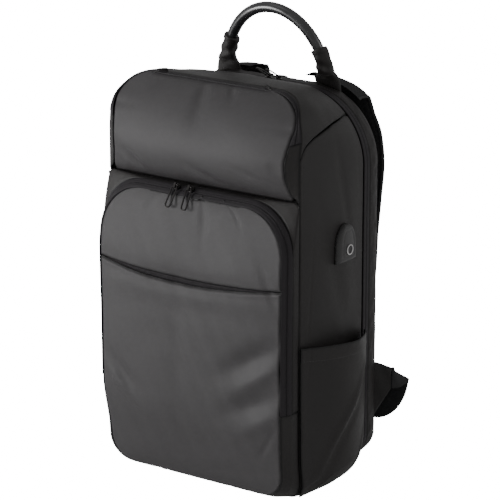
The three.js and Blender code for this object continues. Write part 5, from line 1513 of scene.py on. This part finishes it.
class BACKPACK_OT_handle(Operator):
    """The handle's tube and the cloth sleeves over its ends"""
    bl_idname = "backpack.handle"
    bl_label = "Handle"

    def execute(self, context):
        placed(closed_tube("tube_handle", grip_surface(), grip()), "handle_grip")
        for hand, side in HANDS:
            grid = sleeve_surface(side)
            obj = closed_tube(f"cloth_sleeve_{hand}", grid, shell_cloth())
            placed(obj, f"handle_sleeve_{hand}")
        return {"FINISHED"}


class BACKPACK_OT_straps(Operator):
    """The padded shoulder straps with their bound edges"""
    bl_idname = "backpack.straps"
    bl_label = "Shoulder straps"

    def execute(self, context):
        for hand, side in HANDS:
            pad = closed_tube(f"padded_strap_{hand}", strap_surface(side), air_mesh())
            placed(pad, f"shoulder_strap_{hand}")
            edge = closed_tube(f"binding_strap_{hand}", strap_binding(side), web())
            placed(edge)
        return {"FINISHED"}


class BACKPACK_OT_webbing(Operator):
    """The wings, the lower webbing, the loops and the ladder locks"""
    bl_idname = "backpack.webbing"
    bl_label = "Webbing and locks"

    def execute(self, context):
        t = np.linspace(0, 1, 24)
        z = np.linspace(0, 1, 40)
        for hand, side in HANDS:
            tt, zz = np.meshgrid(t, z, indexing="ij")
            faces = [wing_surface(side, tt, zz, face) for face in (1, -1)]
            grid = np.concatenate([faces[0], faces[1][:, ::-1]], 1)
            wing = closed_tube(f"cloth_wing_{hand}", grid, shell_cloth())
            placed(wing, f"strap_wing_{hand}")
            middles, ways = lower_webbing(side)
            grid, _ = band_path(middles, ways, WEBBING_WIDTH, WEBBING_THICK)
            placed(closed_tube(f"web_lower_{hand}", grid, web()), f"strap_webbing_{hand}")
            middles, ways = loop_webbing(side)
            grid, _ = band_path(middles, ways, WEBBING_WIDTH, WEBBING_THICK)
            placed(closed_tube(f"web_loop_{hand}", grid, web()), f"lock_loop_{hand}")
            dress(f"ladder_lock_{hand}", plastic())
        return {"FINISHED"}


class BACKPACK_OT_pulls(Operator):
    """The sliders and their ring pulls"""
    bl_idname = "backpack.pulls"
    bl_label = "Sliders and pulls"

    def execute(self, context):
        for name in ("front_left", "front_right", "top_left", "top_right"):
            for part in ("slider", "pull"):
                dress(f"{name}_{part}", metal())
        return {"FINISHED"}


def line_on(surface, at, count, along="u"):
    """A line on a surface at one share of it, with the outward directions beside it."""
    near, far = np.array([at - 0.01, at, at + 0.01]), np.linspace(0.02, 0.98, count)
    if along == "u":
        v, u = np.meshgrid(near, far, indexing="ij")
        grid = surface(v, u)
        return grid[1], outward(grid)[1]
    v, u = np.meshgrid(far, near, indexing="ij")
    grid = surface(v, u)
    return grid[:, 1], outward(grid)[:, 1]


class BACKPACK_OT_stitching(Operator):
    """Stitch lines along the main zipper's strip, the side pockets' hems and the sleeves"""
    bl_idname = "backpack.stitching"
    bl_label = "Stitching"

    def execute(self, context):
        gap = settings().stitch_gap
        line, out = line_on(strip, STRIP_SEAM, 900)
        placed(line_stitches("thread_strip", line, out, thread(), gap))
        for hand, side in HANDS:
            flip = np.array([side, 1, 1])
            line, out = line_on(side_pocket, HEM_SEAM, 80, along="v")
            placed(line_stitches(f"thread_side_pocket_{hand}", line * flip, out * flip, thread(),
                gap))
            grid = sleeve_surface(side)
            ring = np.concatenate([grid[SLEEVE_SEAM], grid[SLEEVE_SEAM, :1]])
            away = ring - grid[SLEEVE_SEAM].mean(0)
            placed(line_stitches(f"thread_sleeve_{hand}", ring, away, thread(), gap * 0.8))
        return {"FINISHED"}


class BACKPACK_OT_stage(Operator):
    """Camera, floor and soft studio light"""
    bl_idname = "backpack.stage"
    bl_label = "Stage"

    def execute(self, context):
        scene = context.scene
        turn, rise = CAMERA_TURN, CAMERA_RISE
        target = Vector(((np.array(CAMERA_TARGET) + SHIFT) / 1000).tolist())
        back = Vector((math.sin(turn) * math.cos(rise), -math.cos(turn) * math.cos(rise), math.sin(rise)))
        lens = bpy.data.cameras.new("Camera")
        lens.lens = FOCAL_PIXELS / FRAME_PIXELS * SENSOR
        lens.clip_end = 50
        camera = bpy.data.objects.new("Camera", lens)
        camera.location = target + back * CAMERA_DISTANCE
        camera.rotation_euler = back.to_track_quat("Z", "Y").to_euler()
        scene.collection.objects.link(camera)
        scene.camera = camera

        world = scene.world or bpy.data.worlds.new("World")
        scene.world = world
        world.use_nodes = True
        sky = world.node_tree.nodes["Background"]
        sky.inputs["Color"].default_value = (1, 1, 1, 1)
        sky.inputs["Strength"].default_value = SKY * settings().light

        floor = bpy.data.meshes.new("Floor")
        size = FLOOR_SIZE
        floor.from_pydata([(-size, -size, 0), (size, -size, 0), (size, size, 0), (-size, size, 0)],
            [], [(0, 1, 2, 3)])
        made, tree, shader = finish_of("Floor", 0.9)
        shader.inputs["Base Color"].default_value = (0.92, 0.92, 0.92, 1)
        shader.inputs["Emission Color"].default_value = (1, 1, 1, 1)
        seen = node(tree, "ShaderNodeLightPath").outputs["Is Camera Ray"]
        tree.links.new(maths(tree, "MULTIPLY", seen, FLOOR_GLOW), shader.inputs["Emission Strength"])
        floor.materials.append(made)
        ground = bpy.data.objects.new("Floor", floor)
        ground.location = (0, 0, -0.0005)
        scene.collection.objects.link(ground)

        lights = [
            ("Key", (-1.6, -1.9, 0.5), 1.0, 42),
            ("Top", (-0.5, -0.6, 2.0), 1.0, 1.5),
            ("Rim", (1.9, 0.6, 1.2), 0.9, 5),
        ]
        for name, place, size, power in lights:
            lamp = bpy.data.lights.new(name, "AREA")
            lamp.shape, lamp.size, lamp.energy = "DISK", size, power * settings().light
            obj = bpy.data.objects.new(name, lamp)
            obj.location = place
            obj.rotation_euler = (Vector(place) - Vector((0, 0, 0.25))).to_track_quat("Z", "Y").to_euler()
            scene.collection.objects.link(obj)
        return {"FINISHED"}


STEPS = (
    BACKPACK_OT_stage, BACKPACK_OT_body, BACKPACK_OT_zippers, BACKPACK_OT_front_pocket,
    BACKPACK_OT_upper_pocket, BACKPACK_OT_side_pockets, BACKPACK_OT_port, BACKPACK_OT_handle,
    BACKPACK_OT_straps, BACKPACK_OT_webbing, BACKPACK_OT_pulls, BACKPACK_OT_stitching,
)


class BACKPACK_PT_panel(Panel):
    """The backpack's settings and steps"""
    bl_idname = "BACKPACK_PT_panel"
    bl_label = "Laptop backpack"
    bl_space_type = "VIEW_3D"
    bl_region_type = "UI"
    bl_category = "Backpack"

    def draw(self, context):
        for name in BACKPACK_settings.__annotations__:
            self.layout.prop(context.scene.backpack_settings, name)
        for step in STEPS:
            self.layout.operator(step.bl_idname)


CLASSES = (BACKPACK_settings, *STEPS, BACKPACK_PT_panel)


def register():
    for made in CLASSES:
        bpy.utils.register_class(made)
    bpy.types.Scene.backpack_settings = PointerProperty(type=BACKPACK_settings)


def unregister():
    del bpy.types.Scene.backpack_settings
    for made in reversed(CLASSES):
        bpy.utils.unregister_class(made)


def main():
    register()
    for step in STEPS:
        section, name = step.bl_idname.split(".")
        getattr(getattr(bpy.ops, section), name)()
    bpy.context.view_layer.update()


if __name__ == "__main__":
    main()
